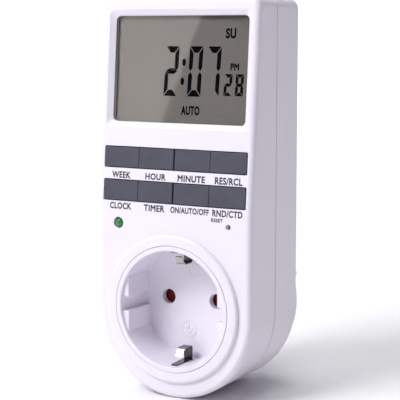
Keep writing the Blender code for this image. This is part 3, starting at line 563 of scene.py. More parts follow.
seamGap = 0.22
seamFront = shellLow.z                     # the front shell's edge at the seam
caseScrews = {name: spanOf(name) for name in nodes if name.startswith("case_screw")}
boardScrews = {name: spanOf(name, leanedPlane) for name in nodes if name.startswith("board_screw")}
socketRing = {"outer": 25.65, "inner": 21.95, "edge": 1.0, "innerEdge": 0.3, "steps": 160, "foot": 1.6}
windowFrame = {"halfWidth": 25.85, "low": 62.2, "high": 98.5, "corner": 1.8, "flare": 1.75, "depth": 1.2,
               "lip": 0.3, "pocket": (1.45, 1.6)}
keyField = {"halfWidth": 27.9, "halfHeight": 3.75, "corner": 0.5, "lip": 0.18}
lampHole = {"radius": 1.9, "lip": 0.25}
resetHole = {"radius": 0.9, "lip": 0.22}
pillar = {"case": (1.6, 2.6), "caseBack": 0.6, "caseFront": 1.4, "board": (1.2, 2.0), "boardBack": 7.7,
          "boardFront": 1.6}
cutDepth = 6.0                             # how far behind the face the cutters for openings start
overlap = 0.01
windowLow = windowFrame["low"] - housing["bendHeight"]
windowHigh = windowFrame["high"] - housing["bendHeight"]
lampLow, lampHigh = spanOf("indicator_led")
resetLow, resetHigh = spanOf("reset_button")
lampAt = centreOf(lampLow, lampHigh)
resetAt = centreOf(resetLow, resetHigh)
keyNames = ["key_day", "key_hour", "key_minute", "key_recall",
            "key_clock", "key_program", "key_mode", "key_random"]
keySpans = {name: spanOf(name, leanedPlane) for name in keyNames}


def makeFrontShell():
    shell = housingBlank(0.0, 0.0, seamFront, leaned=True)
    # the front edge is rounded before the face is leaned, so it keeps an even radius
    roundEdges(shell, rimOf(shell, 0.0), housing["frontEdge"], 8)
    roundEdges(shell, rimOf(shell, seamFront), housing["seamEdge"], 3)
    for v in shell.verts:
        reach = max(0.0, (v.co.z - seamFront) / -seamFront)
        v.co.z -= leanAt(v.co.y) * min(1.0, reach * 1.2)
    hollow = housingBlank(housing["wall"], -housing["frontWall"], seamFront - 4.0, leaned=True)
    leanBack(hollow, -housing["frontWall"])
    wellHole = bmesh.new()
    ringAt = (0.0, housing["socketAt"])
    rod(wellHole, socketRing["inner"] + 1.0, -cutDepth, 4.0, ringAt, steps=96)
    ring = bmesh.new()
    foot = -socketRing["foot"]
    turn(ring, [(socketRing["inner"], foot), (socketRing["outer"], foot),
                (socketRing["outer"], housing["ringProud"]), (socketRing["inner"], housing["ringProud"])],
         socketRing["steps"], ringAt, closed=True)
    tidy(ring)
    for side, edge, steps in (("outer", "edge", 8), ("inner", "innerEdge", 4)):
        rim = circleRim(ring, socketRing[side], housing["ringProud"], ringAt)
        roundEdges(ring, rim, socketRing[edge], steps)
    tools = [("DIFFERENCE", hollow), ("DIFFERENCE", wellHole), ("UNION", ring)]

    opening = bmesh.new()
    half = windowFrame["halfWidth"]
    face = roundedFace(opening, (-half, windowLow), (half, windowHigh), windowFrame["corner"], -cutDepth, 8)
    face = drawOut(opening, face, cutDepth - windowFrame["depth"])
    face = drawOut(opening, face, windowFrame["depth"] - 0.12, windowFrame["flare"])
    flareOut(opening, face, windowFrame["lip"] * 0.4)
    opening.transform(lyingBack)
    tools.append(("DIFFERENCE", opening))

    pocket = bmesh.new()
    across, up = windowFrame["pocket"]
    block(pocket, (-half - across, windowLow - up, -5.0),
          (half + across, windowHigh + up, -windowFrame["depth"] - 0.3), 2.5)
    pocket.transform(lyingBack)
    tools.append(("DIFFERENCE", pocket))

    keyOpenings = bmesh.new()
    lip = keyField["lip"]
    for row in (keyNames[:4], keyNames[4:]):
        middle = sum(keySpans[row[0]][i].y for i in (0, 1)) / 2
        face = roundedFace(keyOpenings, (-keyField["halfWidth"], middle - keyField["halfHeight"]),
                           (keyField["halfWidth"], middle + keyField["halfHeight"]), keyField["corner"],
                           -cutDepth)
        flareOut(keyOpenings, drawOut(keyOpenings, face, cutDepth - lip + overlap), lip)
    keyOpenings.transform(lyingBack)
    tools.append(("DIFFERENCE", keyOpenings))

    holes = bmesh.new()
    for hole, centre in ((lampHole, lampAt), (resetHole, resetAt)):
        face = roundFace(holes, hole["radius"], -cutDepth, centre, 40)
        flareOut(holes, drawOut(holes, face, cutDepth - hole["lip"] + overlap), hole["lip"])
    tools.append(("DIFFERENCE", holes))
    shell = carve(shell, tools)

    for low, high in caseScrews.values():
        centre = centreOf(low, high)
        front = -pillar["caseFront"] - leanAt(centre[1])
        tube(shell, *pillar["case"], seamFront + pillar["caseBack"], front, centre)
    pillars = bmesh.new()
    for low, high in boardScrews.values():
        tube(pillars, *pillar["board"], -pillar["boardBack"], -pillar["boardFront"], centreOf(low, high))
    tidy(pillars)
    pillars.transform(lyingBack)
    graft(shell, pillars)
    return finishPiece(shell, "frontShell", uprightPlane, whiteAbs, stands=["front_housing"])


makeFrontShell()
print("Front shell done")

rearShape = {"padRadius": 28.1, "padEdge": 1.0, "plugRadius": 18.7, "plugEdge": 0.8, "plugBore": 15.4,
             "faceWall": 3.0, "padDepth": 40.5, "boss": 4.2, "headHole": 3.0, "shank": 1.6, "seat": 5.0,
             "notchHalf": 2.6, "notchWide": 2.1, "notchAt": 19.0, "earthHalf": 3.3, "pinHole": 2.7}
earthSlot = {"at": 17.0, "half": 3.2, "back": -55.4, "front": -42.1}
hook = {"at": 12.0, "half": 3.0, "drop": 4.0, "gap": 2.6, "back": 3.0, "front": 2.4}
backPlane = spanOf("power_board")[0].z - 4.3
plugFace = rearLow.z
pinSpans = {name: spanOf(name) for name in ("plug_pin_live", "plug_pin_neutral")}


def makeRearShell():
    seam = seamFront - 2 * seamGap
    padFace = -rearShape["padDepth"]
    shell = housingBlank(0.0, seam, backPlane)
    roundEdges(shell, rimOf(shell, backPlane), housing["backEdge"], 6)
    roundEdges(shell, rimOf(shell, seam), housing["seamEdge"], 3)
    pad = bmesh.new()
    rod(pad, rearShape["padRadius"], padFace, backPlane + 1.0, (0.0, housing["arcCentre"]), 144)
    tidy(pad)
    roundEdges(pad, rimOf(pad, padFace), rearShape["padEdge"], 5)
    plug = bmesh.new()
    rod(plug, rearShape["plugRadius"], plugFace, padFace + 1.0, steps=128)
    tidy(plug)
    roundEdges(plug, rimOf(plug, plugFace), rearShape["plugEdge"], 5)
    hollow = housingBlank(housing["wall"], seam + 4.0, backPlane + housing["wall"])
    padHollow = bmesh.new()
    rod(padHollow, rearShape["padRadius"] - housing["wall"], padFace + housing["wall"], backPlane + 7.0,
        (0.0, housing["arcCentre"]), 96)
    plugHollow = bmesh.new()
    rod(plugHollow, rearShape["plugBore"], plugFace + rearShape["faceWall"], padFace + 7.0, steps=96)
    tools = [("UNION", pad), ("UNION", plug), ("DIFFERENCE", hollow), ("DIFFERENCE", padHollow),
             ("DIFFERENCE", plugHollow)]
    bosses = bmesh.new()
    shanks = bmesh.new()
    heads = bmesh.new()
    for low, high in caseScrews.values():
        centre = centreOf(low, high)
        back = (padFace if centre[1] < housing["bendHeight"] else backPlane) + housing["wall"] - 0.6
        rod(bosses, rearShape["boss"], back, seam - 0.5, centre)
        rod(shanks, rearShape["shank"], plugFace, seam + 3.0, centre, 24)
        rod(heads, rearShape["headHole"], plugFace, seam - rearShape["seat"], centre)
    tools += [("UNION", bosses), ("DIFFERENCE", shanks), ("DIFFERENCE", heads)]
    notches = bmesh.new()
    for side in (-1, 1):
        middle = side * rearShape["notchAt"]
        reach = rearShape["notchWide"]
        block(notches, (middle - reach, -rearShape["notchHalf"], plugFace - 2.0),
              (middle + reach, rearShape["notchHalf"], padFace), 0.4)
        height = side * earthSlot["at"]
        block(notches, (-rearShape["earthHalf"], height - earthSlot["half"], earthSlot["back"]),
              (rearShape["earthHalf"], height + earthSlot["half"], earthSlot["front"]), 0.4)
    for low, high in pinSpans.values():
        centre = ((low.x + high.x) / 2, 0.0)
        rod(notches, rearShape["pinHole"], plugFace - 1.0, plugFace + 6.0, centre)
    tools.append(("DIFFERENCE", notches))
    shell = carve(shell, tools)
    for side in (-1, 1):
        middle = side * hook["at"]
        block(shell, (middle - hook["half"], topHeight - hook["drop"], seam - hook["back"]),
              (middle + hook["half"], topHeight - hook["gap"], seam + hook["front"]), 0.3)
    tidy(shell)
    return finishPiece(shell, "rearShell", uprightPlane, whiteAbs, stands=["rear_housing"])


makeRearShell()
print("Rear shell done")


well = {"radius": 20.13, "draft": 0.25, "outer": 21.83, "floor": 13.65, "back": 16.15, "mouth": 0.4,
        "outerEdge": 0.2, "fillet": 0.6, "flangeRadius": 22.9, "flangeFront": 2.5, "flangeBack": 4.3,
        "holeRadius": 2.6, "holeLip": 0.3, "clipHalf": 1.9, "clipSlot": 21.0, "slotHalf": 2.4,
        "slotBack": -11.4, "slotFront": -9.9, "steps": 160}
guide = {"reach": 17.45, "top": 9.6, "slotHalf": 2.5, "start": 0.15, "radius": 20.7, "edge": 0.35}
emboss = {"proud": 0.22, "line": 0.5, "ring": 3.1, "at": (-1.3, -9.5),
          "dimples": ((0.8, 11.3), (-10.6, -9.2)), "dimple": 2.4,
          "bars": ((3.4, 0.0), (2.2, 0.95), (1.0, 1.9))}
pinPitch = pinSpans["plug_pin_neutral"][1].x + pinSpans["plug_pin_neutral"][0].x


def makeSocketWell():
    floor, mouth = -well["floor"], housing["ringProud"]
    shape = bmesh.new()
    turn(shape, [(0.0, floor), (well["radius"] - well["draft"], floor), (well["radius"], mouth),
                 (well["outer"], mouth), (well["outer"], -well["flangeFront"]),
                 (well["flangeRadius"], -well["flangeFront"]), (well["flangeRadius"], -well["flangeBack"]),
                 (well["outer"], -well["flangeBack"]), (well["outer"], -well["back"]), (0.0, -well["back"])],
         well["steps"])
    tidy(shape)
    roundEdges(shape, circleRim(shape, well["radius"], mouth), well["mouth"], 5)
    roundEdges(shape, circleRim(shape, well["outer"], mouth), well["outerEdge"], 3)
    roundEdges(shape, circleRim(shape, well["radius"] - well["draft"], floor), well["fillet"], 4)
    cuts = bmesh.new()
    for side in (-1, 1):
        holeAt = (side * pinPitch / 2, -housing["socketAt"])
        face = roundFace(cuts, well["holeRadius"], -well["back"] - 1.0, holeAt)
        face = drawOut(cuts, face, well["back"] + 1.0 - well["floor"] - well["holeLip"] + overlap)
        flareOut(cuts, face, well["holeLip"])
        slot = side * well["clipSlot"]
        block(cuts, (-well["clipHalf"], slot - well["slotHalf"], well["slotBack"]),
              (well["clipHalf"], slot + well["slotHalf"], well["slotFront"]), 0.2)
    shape = carve(shape, [("DIFFERENCE", cuts)])
    for across in (-1, 1):
        for up in (-1, 1):
            jaw = bmesh.new()
            roundFace(jaw, guide["radius"], floor - 0.5, steps=144)
            keep = (((guide["reach"], 0.0, 0.0), (-1.0, 0.0, 0.0)),
                    ((0.0, guide["slotHalf"], 0.0), (0.0, -1.0, 0.0)),
                    ((0.0, guide["top"], 0.0), (0.0, 1.0, 0.0)))
            for at, away in keep:
                sliceOff(jaw, at, away)
            drawOut(jaw, jaw.faces[:][0], guide["start"] - floor + 0.5)
            tidy(jaw)
            inner = [e for e in jaw.edges if all(v.co.x < guide["reach"] + 1e-3 for v in e.verts)
                     and any(v.co.z > guide["start"] - 1e-3 for v in e.verts)]
            inner += [e for e in rimOf(jaw, guide["start"]) if e not in inner]
            roundEdges(jaw, inner, guide["edge"], 4)
            bmesh.ops.scale(jaw, vec=(across, up, 1.0), verts=jaw.verts)
            tidy(jaw)
            graft(shape, jaw)
    # raised earth sign and round ejector marks on the floor
    low, high = floor - 0.2, floor + emboss["proud"]
    x, y = emboss["at"]
    line = emboss["line"]
    tube(shape, emboss["ring"] - line, emboss["ring"], low, high, (x, y), 64)
    block(shape, (x - line / 2, y - 0.2, low), (x + line / 2, y + 2.1, high), 0.1)
    for width, drop in emboss["bars"]:
        middle = y - drop - 0.2
        block(shape, (x - width / 2, middle - line / 2, low), (x + width / 2, middle + line / 2, high), 0.1)
    for centre in emboss["dimples"]:
        tube(shape, emboss["dimple"] - line * 0.7, emboss["dimple"], low, floor + emboss["proud"] * 0.6,
             centre, 48)
    bmesh.ops.translate(shape, verts=shape.verts, vec=(0.0, housing["socketAt"], 0.0))
    return finishPiece(shape, "socketWell", uprightPlane, wellAbs, stands=["socket_insert"])


makeSocketWell()
print("Socket well done")

# one entry gives the front and reach of the tab faces that take the painted highlight
clip = {"width": 3.2, "thick": 0.5, "bend": 0.7, "root": (-28.9, 22.5), "fold": -10.65, "tip": 14.83,
        "tabTop": -6.3, "tabEnd": (-4.7, 17.6), "tabFrom": -6.0, "tabTaper": 0.8, "wallAt": 19.33,
        "foot": (-10.4, -1.3), "footFrom": -2.0, "footTaper": 0.72, "within": (14.6, 22.79),
        "paintedHighlightTab": (-6.2, 18.0), "lowerDrop": 0.25}


def stripOf(bm, path, width, bend):
    # a sprung strip: the path is drawn across and its folds are rounded; its callers give it its thickness
    verts = [bm.verts.new((-width / 2, y, z)) for z, y in path]
    edges = [bm.edges.new(pair) for pair in zip(verts, verts[1:])]
    made = bmesh.ops.extrude_edge_only(bm, edges=edges)
    bmesh.ops.translate(bm, verts=vertsIn(made), vec=(width, 0.0, 0.0))
    folds = [e for e in bm.edges if len(e.link_faces) == 2]
    if folds:
        roundEdges(bm, folds, bend, 5)


def makeEarthClip(name, node, side):
    shape = bmesh.new()
    # one strip comes through the slot, stands up from the wall and folds over into the rubbing tab
    fold, tip = clip["fold"], clip["tip"]
    path = [clip["root"], (fold, clip["root"][1]), (fold, tip), (clip["tabTop"], tip), clip["tabEnd"]]
    stripOf(shape, path, clip["width"], clip["bend"])
    tab = [v for v in shape.verts if v.co.z > clip["tabFrom"]]
    bmesh.ops.scale(shape, vec=(clip["tabTaper"], 1.0, 1.0), verts=tab)
    foot = bmesh.new()
    stripOf(foot, [(z, clip["wallAt"]) for z in clip["foot"]], clip["width"], clip["bend"])
    end = [v for v in foot.verts if v.co.z > clip["footFrom"]]
    bmesh.ops.scale(foot, vec=(clip["footTaper"], 1.0, 1.0), verts=end)
    graft(shape, foot)
    bmesh.ops.recalc_face_normals(shape, faces=shape.faces)
    bmesh.ops.solidify(shape, geom=shape.faces[:], thickness=clip["thick"])
    for v in shape.verts:
        v.co.y = min(max(v.co.y, clip["within"][0]), clip["within"][1])
    bmesh.ops.scale(shape, vec=(1.0, side, 1.0), verts=shape.verts)
    drop = clip["lowerDrop"] if side < 0 else 0.0
    bmesh.ops.translate(shape, verts=shape.verts, vec=(0.0, housing["socketAt"] - drop, 0.0))
    tidy(shape)
    shape.normal_update()
    # the tab faces take the lighter copy as painted highlight, the rest of each clip the darker copy as
    # painted shade
    for face in shape.faces:
        middle = face.calc_center_median()
        front, reach = clip["paintedHighlightTab"]
        onTab = middle.z > front and abs(middle.y - housing["socketAt"]) < reach
        face.material_index = 1 if onTab else 0
    piece = finishPiece(shape, name, uprightPlane, nickelStripPaintedShade, stands=[node])
    piece.data.materials.append(nickelStripPaintedHighlight)
    return piece


makeEarthClip("earthClipTop", "earth_clip_upper", 1)
makeEarthClip("earthClipBottom", "earth_clip_lower", -1)
print("Earth clips done")


pin = {"radius": 2.4, "tipRadius": 1.7, "tipEdge": 1.2, "taper": 4.0, "shoulder": 2.0, "collar": 3.6,
       "collarFront": -50.7, "collarBack": -53.6}


def makePin(name, node):
    low, high = spanOf(node)
    centre = centreOf(low, high)
    radius, tip, root = pin["radius"], low.z, high.z
    collar, front, back = pin["collar"], pin["collarFront"], pin["collarBack"]
    taper = tip + pin["taper"]
    shape = bmesh.new()
    turn(shape, [(0.0, root), (radius, root), (radius, front), (collar, front), (collar, back),
                 (radius, back), (radius, taper), (pin["tipRadius"], tip), (0.0, tip)], 64, centre)
    tidy(shape)
    roundEdges(shape, circleRim(shape, pin["tipRadius"], tip, centre), pin["tipEdge"], 8)
    roundEdges(shape, circleRim(shape, radius, taper, centre), pin["shoulder"], 8)
    roundEdges(shape, circleRim(shape, collar, back, centre), 0.3, 2)
    return finishPiece(shape, name, uprightPlane, nickelPin, stands=[node])


coil = {"wire": 0.15, "turns": 7, "steps": 24, "sides": 10, "joint": "shutter_slide", "travel": 7.0}


def makeReturnSpring():
    # a wound spring between the shutter and the carrier
    low, high = spanOf("shutter_spring")
    wire = coil["wire"]
    radius = (high.x - low.x) / 2 - wire
    centre = Vector(((low.x + high.x) / 2, 0.0, (low.z + high.z) / 2))
    bottom, top = low.y + wire, high.y - wire
    count = coil["turns"] * coil["steps"]
    shape = bmesh.new()
    section = bmesh.ops.create_circle(shape, radius=wire, segments=coil["sides"])["verts"]
    bmesh.ops.translate(shape, verts=section, vec=centre + Vector((radius, bottom, 0.0)))
    bmesh.ops.spin(shape, geom=section + shape.edges[:], cent=centre, axis=(0.0, 1.0, 0.0),
                   dvec=(0.0, (top - bottom) / count, 0.0), angle=math.tau * coil["turns"], steps=count)
    bmesh.ops.holes_fill(shape, edges=[e for e in shape.edges if e.is_boundary])
    tidy(shape)
    piece = finishPiece(shape, "returnSpring", uprightPlane, zincSteel, stands=["shutter_spring"])
    piece.modifiers.clear()
    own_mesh(piece)


makeReturnSpring()
makePin("pinLive", "plug_pin_live")
makePin("pinNeutral", "plug_pin_neutral")


strap = {"inset": 0.4, "thick": 0.4, "bend": 1.0, "edge": 0.12}


def makePlugEarthStrap():
    low, high = spanOf("plug_earth_strap")
    shape = bmesh.new()
    reach, front = high.y - strap["inset"], high.z - strap["inset"]
    path = [(low.z, -reach), (front, -reach), (front, reach), (low.z, reach)]
    stripOf(shape, path, high.x - low.x, strap["bend"])
    bmesh.ops.recalc_face_normals(shape, faces=shape.faces)
    bmesh.ops.solidify(shape, geom=shape.faces[:], thickness=strap["thick"])
    # the strip stays within its own part's height and front
    for v in shape.verts:
        v.co.y = min(max(v.co.y, low.y), high.y)
        v.co.z = min(v.co.z, high.z)
    tidy(shape)
    roundEdges(shape, [e for e in shape.edges if e.calc_face_angle(0.0) > 1.0], strap["edge"], 2)
    return finishPiece(shape, "plugEarthStrap", uprightPlane, nickelStripPaintedShade, stands=["plug_earth_strap"])


makePlugEarthStrap()


screw = {"shank": 1.3, "point": 0.5, "head": 2.6, "crown": 2.0, "headHeight": 1.9, "slotReach": 1.5,
         "slotHalf": 0.3, "slotDepth": 0.8}


def makeCaseScrew(name, node):
    low, high = caseScrews[node]
    centre = centreOf(low, high)
    shank, head, crown = screw["shank"], screw["head"], screw["crown"]
    reach, half = screw["slotReach"], screw["slotHalf"]
    seat = low.z + screw["headHeight"]
    shape = bmesh.new()
    turn(shape, [(0.0, high.z), (screw["point"], high.z), (shank, high.z - 2.0), (shank, seat), (head, seat),
                 (head, seat - 1.0), (crown, low.z), (0.0, low.z)], 48, centre)
    tidy(shape)
    rims = circleRim(shape, head, seat - 1.0, centre) + circleRim(shape, crown, low.z, centre)
    roundEdges(shape, rims, 0.3, 4)
    for wide, tall in ((reach, half), (half, reach)):
        cross = bmesh.new()
        block(cross, (centre[0] - wide, centre[1] - tall, low.z - 1.0),
              (centre[0] + wide, centre[1] + tall, low.z + screw["slotDepth"]), 0.1)
        shape = carve(shape, [("DIFFERENCE", cross)])
    return finishPiece(shape, name, uprightPlane, zincSteel, stands=[node])


for number, node in enumerate(sorted(caseScrews), start=1):
    makeCaseScrew(f"caseScrew{number}", node)
print("Plug side done")


gasket = {"reach": 0.9, "corner": 2.0, "side": 0.05, "end": 0.1, "innerCorner": 1.7}
cellFront = spanOf("lcd_glass", leanedPlane)[1].z
paneBack = spanOf("display_window", leanedPlane)[0].z


def makeWindow():
    low, high = spanOf("display_window", leanedPlane)
    shape = bmesh.new()
    block(shape, low, high, 2.2)
    tidy(shape)
    roundEdges(shape, rimOf(shape, high.z) + rimOf(shape, low.z), 0.12, 2)
    pane = finishPiece(shape, "displayWindow", leanedPlane, acrylic, stands=["display_window"])
    pane.visible_shadow = False        # clear plastic this thin takes hardly any light from the display
    return pane


def makeDisplayCell():
    low, high = spanOf("lcd_glass", leanedPlane)
    shape = bmesh.new()
    block(shape, low, high, 1.0)
    tidy(shape)
    roundEdges(shape, rimOf(shape, high.z), 0.15, 2)
    return finishPiece(shape, "displayCell", leanedPlane, displayGlass, stands=["lcd_glass"])


def makeGasket():
    # a thin pale frame holds the window off the cell
    shape = bmesh.new()
    reach, side, end = gasket["reach"], gasket["side"], gasket["end"]
    half = windowFrame["halfWidth"]
    block(shape, (-half - reach, windowLow - reach, cellFront), (half + reach, windowHigh + reach, paneBack),
          gasket["corner"])
    inside = bmesh.new()
    block(inside, (-half + side, windowLow + end, cellFront - 1.0),
          (half - side, windowHigh - end, paneBack + 1.0), gasket["innerCorner"])
    shape = carve(shape, [("DIFFERENCE", inside)])
    return finishPiece(shape, "displayGasket", leanedPlane, nylonFrame)


lit = {"0": "abcdef", "2": "abged", "7": "abc", "8": "abcdefg"}
clock = {"height": 16.8, "width": 5.2, "flatBar": 2.15, "uprightBar": 1.5, "gap": 0.16, "slant": 0.035,
         "base": 71.45, "digits": (("2", -6.8), ("0", 2.45), ("7", 9.4)),
         "colon": ((0.9, 82.9), (0.5, 76.5)), "colonSize": (0.72, 1.25)}
seconds = {"height": 7.2, "width": 3.0, "flatBar": 1.15, "uprightBar": 1.05, "gap": 0.07, "slant": 0.035,
           "base": 72.0, "digits": (("2", 16.4), ("8", 20.65))}
segment = {"depth": 0.04, "middleHalf": 0.95, "blunt": 0.15}
lettering = {"depth": 0.02, "spacing": 1.08, "steps": 4, "displayWeight": 0.045, "legendWeight": 0.032}
displayWords = (("SU", (18.4, 92.6), (3.9, 3.45)), ("PM", (20.3, 81.6), (3.2, 2.35)),
                ("AUTO", (4.0, 66.75), (7.2, 3.1)))


def drawDigit(bm, digit, left, style):
    w, h = style["width"], style["height"]
    flat, upright, gap = style["flatBar"], style["uprightBar"], style["gap"]
    x0, x1 = upright / 2, w - upright / 2
    y0, y1, y2 = flat / 2, h / 2, h - flat / 2
    ends = {"a": ((x0, y2), (x1, y2)), "g": ((x0, y1), (x1, y1)), "d": ((x0, y0), (x1, y0)),
            "f": ((x0, y1), (x0, y2)), "b": ((x1, y1), (x1, y2)), "e": ((x0, y0), (x0, y1)),
            "c": ((x1, y0), (x1, y1))}
    for name in lit[digit]:
        start, end = (Vector(p) for p in ends[name])
        lying = name in "agd"
        if lying:
            outward = {"a": 1, "g": 0, "d": -1}[name]
            points = barCorners(start.x, end.x, start.y, flat, upright, gap, outward)
        else:
            points = uprightCorners(start, end, upright, flat, gap, name in "fb")
        places = [(left + px + py * style["slant"], style["base"] + py, 0.0) for px, py in points]
        drawOut(bm, bm.faces.new([bm.verts.new(place) for place in places]), segment["depth"])


def barCorners(x0, x1, y, thick, side, gap, outward):
    # a lying bar: mitred on its inner side at 45 degrees, or pointed if it is the middle one
    half = thick / 2
    if outward == 0:
        half = min(half, segment["middleHalf"])
        point = side / 2 - gap - segment["blunt"]
        shoulder = side / 2 + gap
        return [(x0 - point, y), (x0 + shoulder, y - half), (x1 - shoulder, y - half),
                (x1 + point, y), (x1 - shoulder, y + half), (x0 + shoulder, y + half)]
    outer, inner = y + outward * half, y - outward * half
    left, right = x0 - side / 2 + gap, x1 + side / 2 - gap
    return [(left, outer), (right, outer), (right - side - gap, inner), (left + side + gap, inner)]


def uprightCorners(start, end, thick, flat, gap, isUpper):
    # an upright bar: mitred to meet the lying bar at its outer end and pointed at the middle
    half = thick / 2
    middle, outer = (start, end) if isUpper else (end, start)
    away = 1 if isUpper else -1
    edge = outer.y + away * flat / 2
    inward = 1 if outer.x < 2.0 * half + 0.6 else -1
    shoulder = middle.y + away * (gap + half * 1.4)
    return [(middle.x, middle.y + away * gap), (middle.x + inward * half, shoulder),
            (outer.x + inward * half, edge - away * (flat + gap)),
            (outer.x - inward * half, edge - away * gap * 2.2), (middle.x - inward * half, shoulder)]


def wordMesh(text, size, weight):
    # built-in lettering as a mesh of a set width and height, centred on the origin
    curve = bpy.data.curves.new("word", "FONT")
    curve.body = text
    curve.extrude = lettering["depth"]
    curve.bevel_depth = weight
    curve.space_character = lettering["spacing"]
    curve.bevel_resolution = 0
    curve.resolution_u = lettering["steps"]
    holder = addObject("word", curve)
    mesh = evaluatedMesh(holder)
    bpy.data.objects.remove(holder, do_unlink=True)
    xs, ys = [v.co.x for v in mesh.vertices], [v.co.y for v in mesh.vertices]
    centre = Vector(((min(xs) + max(xs)) / 2, (min(ys) + max(ys)) / 2, 0.0))
    fit = Matrix.Diagonal((size[0] / (max(xs) - min(xs)), size[1] / (max(ys) - min(ys)), 1.0, 1.0))
    mesh.transform(fit @ Matrix.Translation(-centre))
    return mesh


def makeSegments():
    shape = bmesh.new()
    for style in (clock, seconds):
        for digit, left in style["digits"]:
            drawDigit(shape, digit, left, style)
    for centre in clock["colon"]:
        made = bmesh.ops.create_circle(shape, cap_ends=True, radius=1.0, segments=24)
        bmesh.ops.scale(shape, vec=(*clock["colonSize"], 1.0), verts=made["verts"])
        bmesh.ops.translate(shape, vec=(*centre, 0.0), verts=made["verts"])
        drawOut(shape, made["verts"][0].link_faces[0], segment["depth"])
    for text, centre, size in displayWords:
        word = wordMesh(text, size, lettering["displayWeight"])
        word.transform(Matrix.Translation((*centre, lettering["depth"])))
        shape.from_mesh(word)
    tidy(shape)
    bmesh.ops.translate(shape, verts=shape.verts, vec=(0.0, -housing["bendHeight"], cellFront))
    return finishPiece(shape, "displaySegments", leanedPlane, segmentBlack)


makeWindow()
makeDisplayCell()
makeGasket()
makeSegments()
print("Display done")


keyCap = {"edge": 0.22, "corner": 0.3, "flange": 0.95, "capDepth": 2.8, "flangeFront": 2.5,
          "flangeBack": 3.4, "stem": 2.2, "outerGap": 0.06}
legends = (("WEEK", (-20.8, 43.9), (7.6, 2.25)), ("HOUR", (-7.0, 43.9), (8.1, 2.25)),
           ("MINUTE", (7.0, 43.9), (10.5, 2.25)), ("RES/RCL", (21.2, 43.9), (10.3, 2.4)),
           ("CLOCK", (-20.65, 33.15), (8.8, 2.25)), ("TIMER", (-7.1, 33.15), (8.3, 2.25)),
           ("ON/AUTO/OFF", (6.8, 33.15), (14.9, 2.1)), ("RND/CTD", (21.2, 33.15), (11.3, 2.3)),
           ("RESET", (17.3, 30.75), (4.4, 1.25)))


def makeKey(name):
    low, high = keySpans[name]
    bottom, top = low.y + keyCap["flange"], high.y - keyCap["flange"]
    # the caps of a pair all but touch, while the two pairs stand apart
    pairGap = (keySpans["key_hour"][0].x - keySpans["key_day"][1].x - keyCap["outerGap"]) / 2
    middle = (low.x + high.x) / 2
    isOuter = abs(middle) > high.x - low.x
    growsRight = isOuter == (middle < 0)
    left, right = (low.x, high.x + pairGap) if growsRight else (low.x - pairGap, high.x)
    shape = bmesh.new()
    block(shape, (left, bottom, -keyCap["capDepth"]), (right, top, high.z), keyCap["corner"])
    tidy(shape)
    roundEdges(shape, rimOf(shape, high.z), keyCap["edge"], 4)
    block(shape, (low.x, low.y, -keyCap["flangeBack"]), (high.x, high.y, -keyCap["flangeFront"]), 0.2)
    rod(shape, keyCap["stem"], low.z, -keyCap["flangeBack"] + 0.1, (middle, (bottom + top) / 2), 32)
    bmesh.ops.recalc_face_normals(shape, faces=shape.faces)
    words = name.split("_")
    piece = "keyCap" + words[1].capitalize()
    return finishPiece(shape, piece, leanedPlane, slateAbs, body=name, stands=[name])


for name in keyNames:
    makeKey(name)


def makeLegends():
    shape = bmesh.new()
    for text, centre, size in legends:
        word = wordMesh(text, size, lettering["legendWeight"])
        word.transform(Matrix.Translation((*centre, 0.0)))
        shape.from_mesh(word)
    bmesh.ops.remove_doubles(shape, verts=shape.verts, dist=1e-5)
    for v in shape.verts:
        v.co = onFace(v.co.x, v.co.y, v.co.z + 0.005)
    return finishPiece(shape, "keyLegends", uprightPlane, legendInk)


makeLegends()

lamp = {"radius": 1.6, "domeDrop": 0.55, "rim": 0.35, "rimFront": 3.8, "base": 4.6}


def makeLamp():
    r = lamp["radius"]
    shape = bmesh.new()
    dome = [(r * math.sin(a), lamp["domeDrop"] - r + r * math.cos(a))
            for a in (math.pi / 2 * step / 10 for step in range(11))]
    turn(shape, dome + [(r, -lamp["rimFront"]), (r + lamp["rim"], -lamp["rimFront"]),
                        (r + lamp["rim"], -lamp["base"]), (0.0, -lamp["base"])], 48, lampAt)
    tidy(shape)
    return finishPiece(shape, "indicatorLamp", uprightPlane, lampEpoxy, stands=["indicator_led"])


makeLamp()
print("Keys, legends and lamp done")


studio = {"mottle": 1000 / 3, "half": 3.0, "back": 2.6, "height": 3.2, "sweep": 1.0}


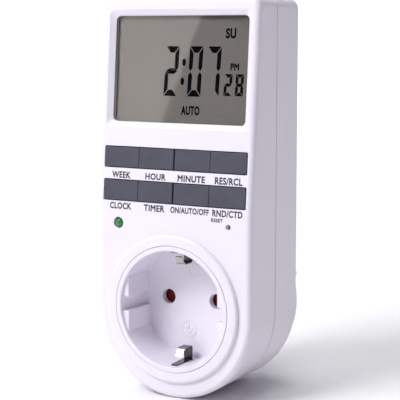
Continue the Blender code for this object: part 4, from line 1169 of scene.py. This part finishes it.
def makeStudio():
    material, tree, shader = newMaterial("matt_paper_sweep", IOR=1.45)
    mottled = noise(tree, studio["mottle"])
    skin(tree, shader, blended(tree, mottled, "#F2F2F5", "#F4F4F6"), spread(tree, mottled, 0.75, 0.85))
    floorZ = cadBounds[0][2]
    bm = bmesh.new()
    half, back = studio["half"], studio["back"]
    places = ((-half, -half), (half, -half), (half, back), (-half, back))
    floorFace = bm.faces.new([bm.verts.new((x, y, floorZ)) for x, y in places])
    far = next(e for e in floorFace.edges if all(v.co.y > back - 0.01 for v in e.verts))
    made = bmesh.ops.extrude_edge_only(bm, edges=[far])
    bmesh.ops.translate(bm, verts=vertsIn(made), vec=(0.0, 0.0, studio["height"]))
    roundEdges(bm, [far], studio["sweep"], 16)
    bmesh.ops.recalc_face_normals(bm, faces=bm.faces)
    mesh = bpy.data.meshes.new("paperSweep")
    bm.to_mesh(mesh)
    bm.free()
    mesh.shade_smooth()
    mesh.materials.append(material)
    addObject("paperSweep", mesh)


makeStudio()


def addLight(name, place, aim, size, power):
    data = bpy.data.lights.new(name, "AREA")
    data.shape = "RECTANGLE"
    data.size, data.size_y = size
    data.energy = power
    light = addObject(name, data)
    light.location = place
    light.rotation_euler = (Vector(aim) - Vector(place)).to_track_quat("-Z", "Y").to_euler()
    return light


# places and sizes in metres, turns in degrees
middle = (0.0, -0.03, 0.04)
mirrored = {"at": (-0.9353, -0.9690, 0.3208), "size": (0.7, 1.2), "power": 1.8,
            "turned": (79.90, 16.18, -32.57)}
overhead = {"power": 1.0, "spread": 40.0}
air = {"colour": "#F7F2FB", "strength": 0.15}
view = {"at": (0.2186, -0.4220, 0.0930), "lens": 114.6, "sensor": 36.0, "down": 7.57, "turned": 29.64,
        "near": 0.01, "far": 20.0}

addLight("keySoftbox", (-0.5, -0.95, 1.02), middle, (0.6, 0.5), 15.0)
addLight("backdropWash", (-1.3, 1.2, 1.4), (-1.35, 1.9, 0.0), (1.8, 0.9), 38.0)
# a dim card that the display mirrors, its slanted edge crossing the window
card = addLight("mirroredCard", mirrored["at"], middle, mirrored["size"], mirrored["power"])
card.rotation_euler = [math.radians(angle) for angle in mirrored["turned"]]
bank = bpy.data.lights.new("overheadBank", "SUN")
bank.energy = overhead["power"]
bank.angle = math.radians(overhead["spread"])
addObject("overheadBank", bank)

world = bpy.data.worlds.new("studioAir")
bpy.context.scene.world = world
world.use_nodes = True
background = world.node_tree.nodes["Background"]
background.inputs["Color"].default_value = linear(air["colour"])
background.inputs["Strength"].default_value = air["strength"]
bpy.context.scene.view_settings.view_transform = "Standard"

camera = bpy.data.cameras.new("camera")
camera.lens, camera.sensor_width = view["lens"], view["sensor"]
camera.clip_start, camera.clip_end = view["near"], view["far"]
viewer = addObject("camera", camera)
viewer.location = view["at"]
viewer.rotation_euler = (math.radians(90.0 - view["down"]), 0.0, math.radians(view["turned"]))
bpy.context.scene.camera = viewer
print("Studio done")

bpy.context.view_layer.update()
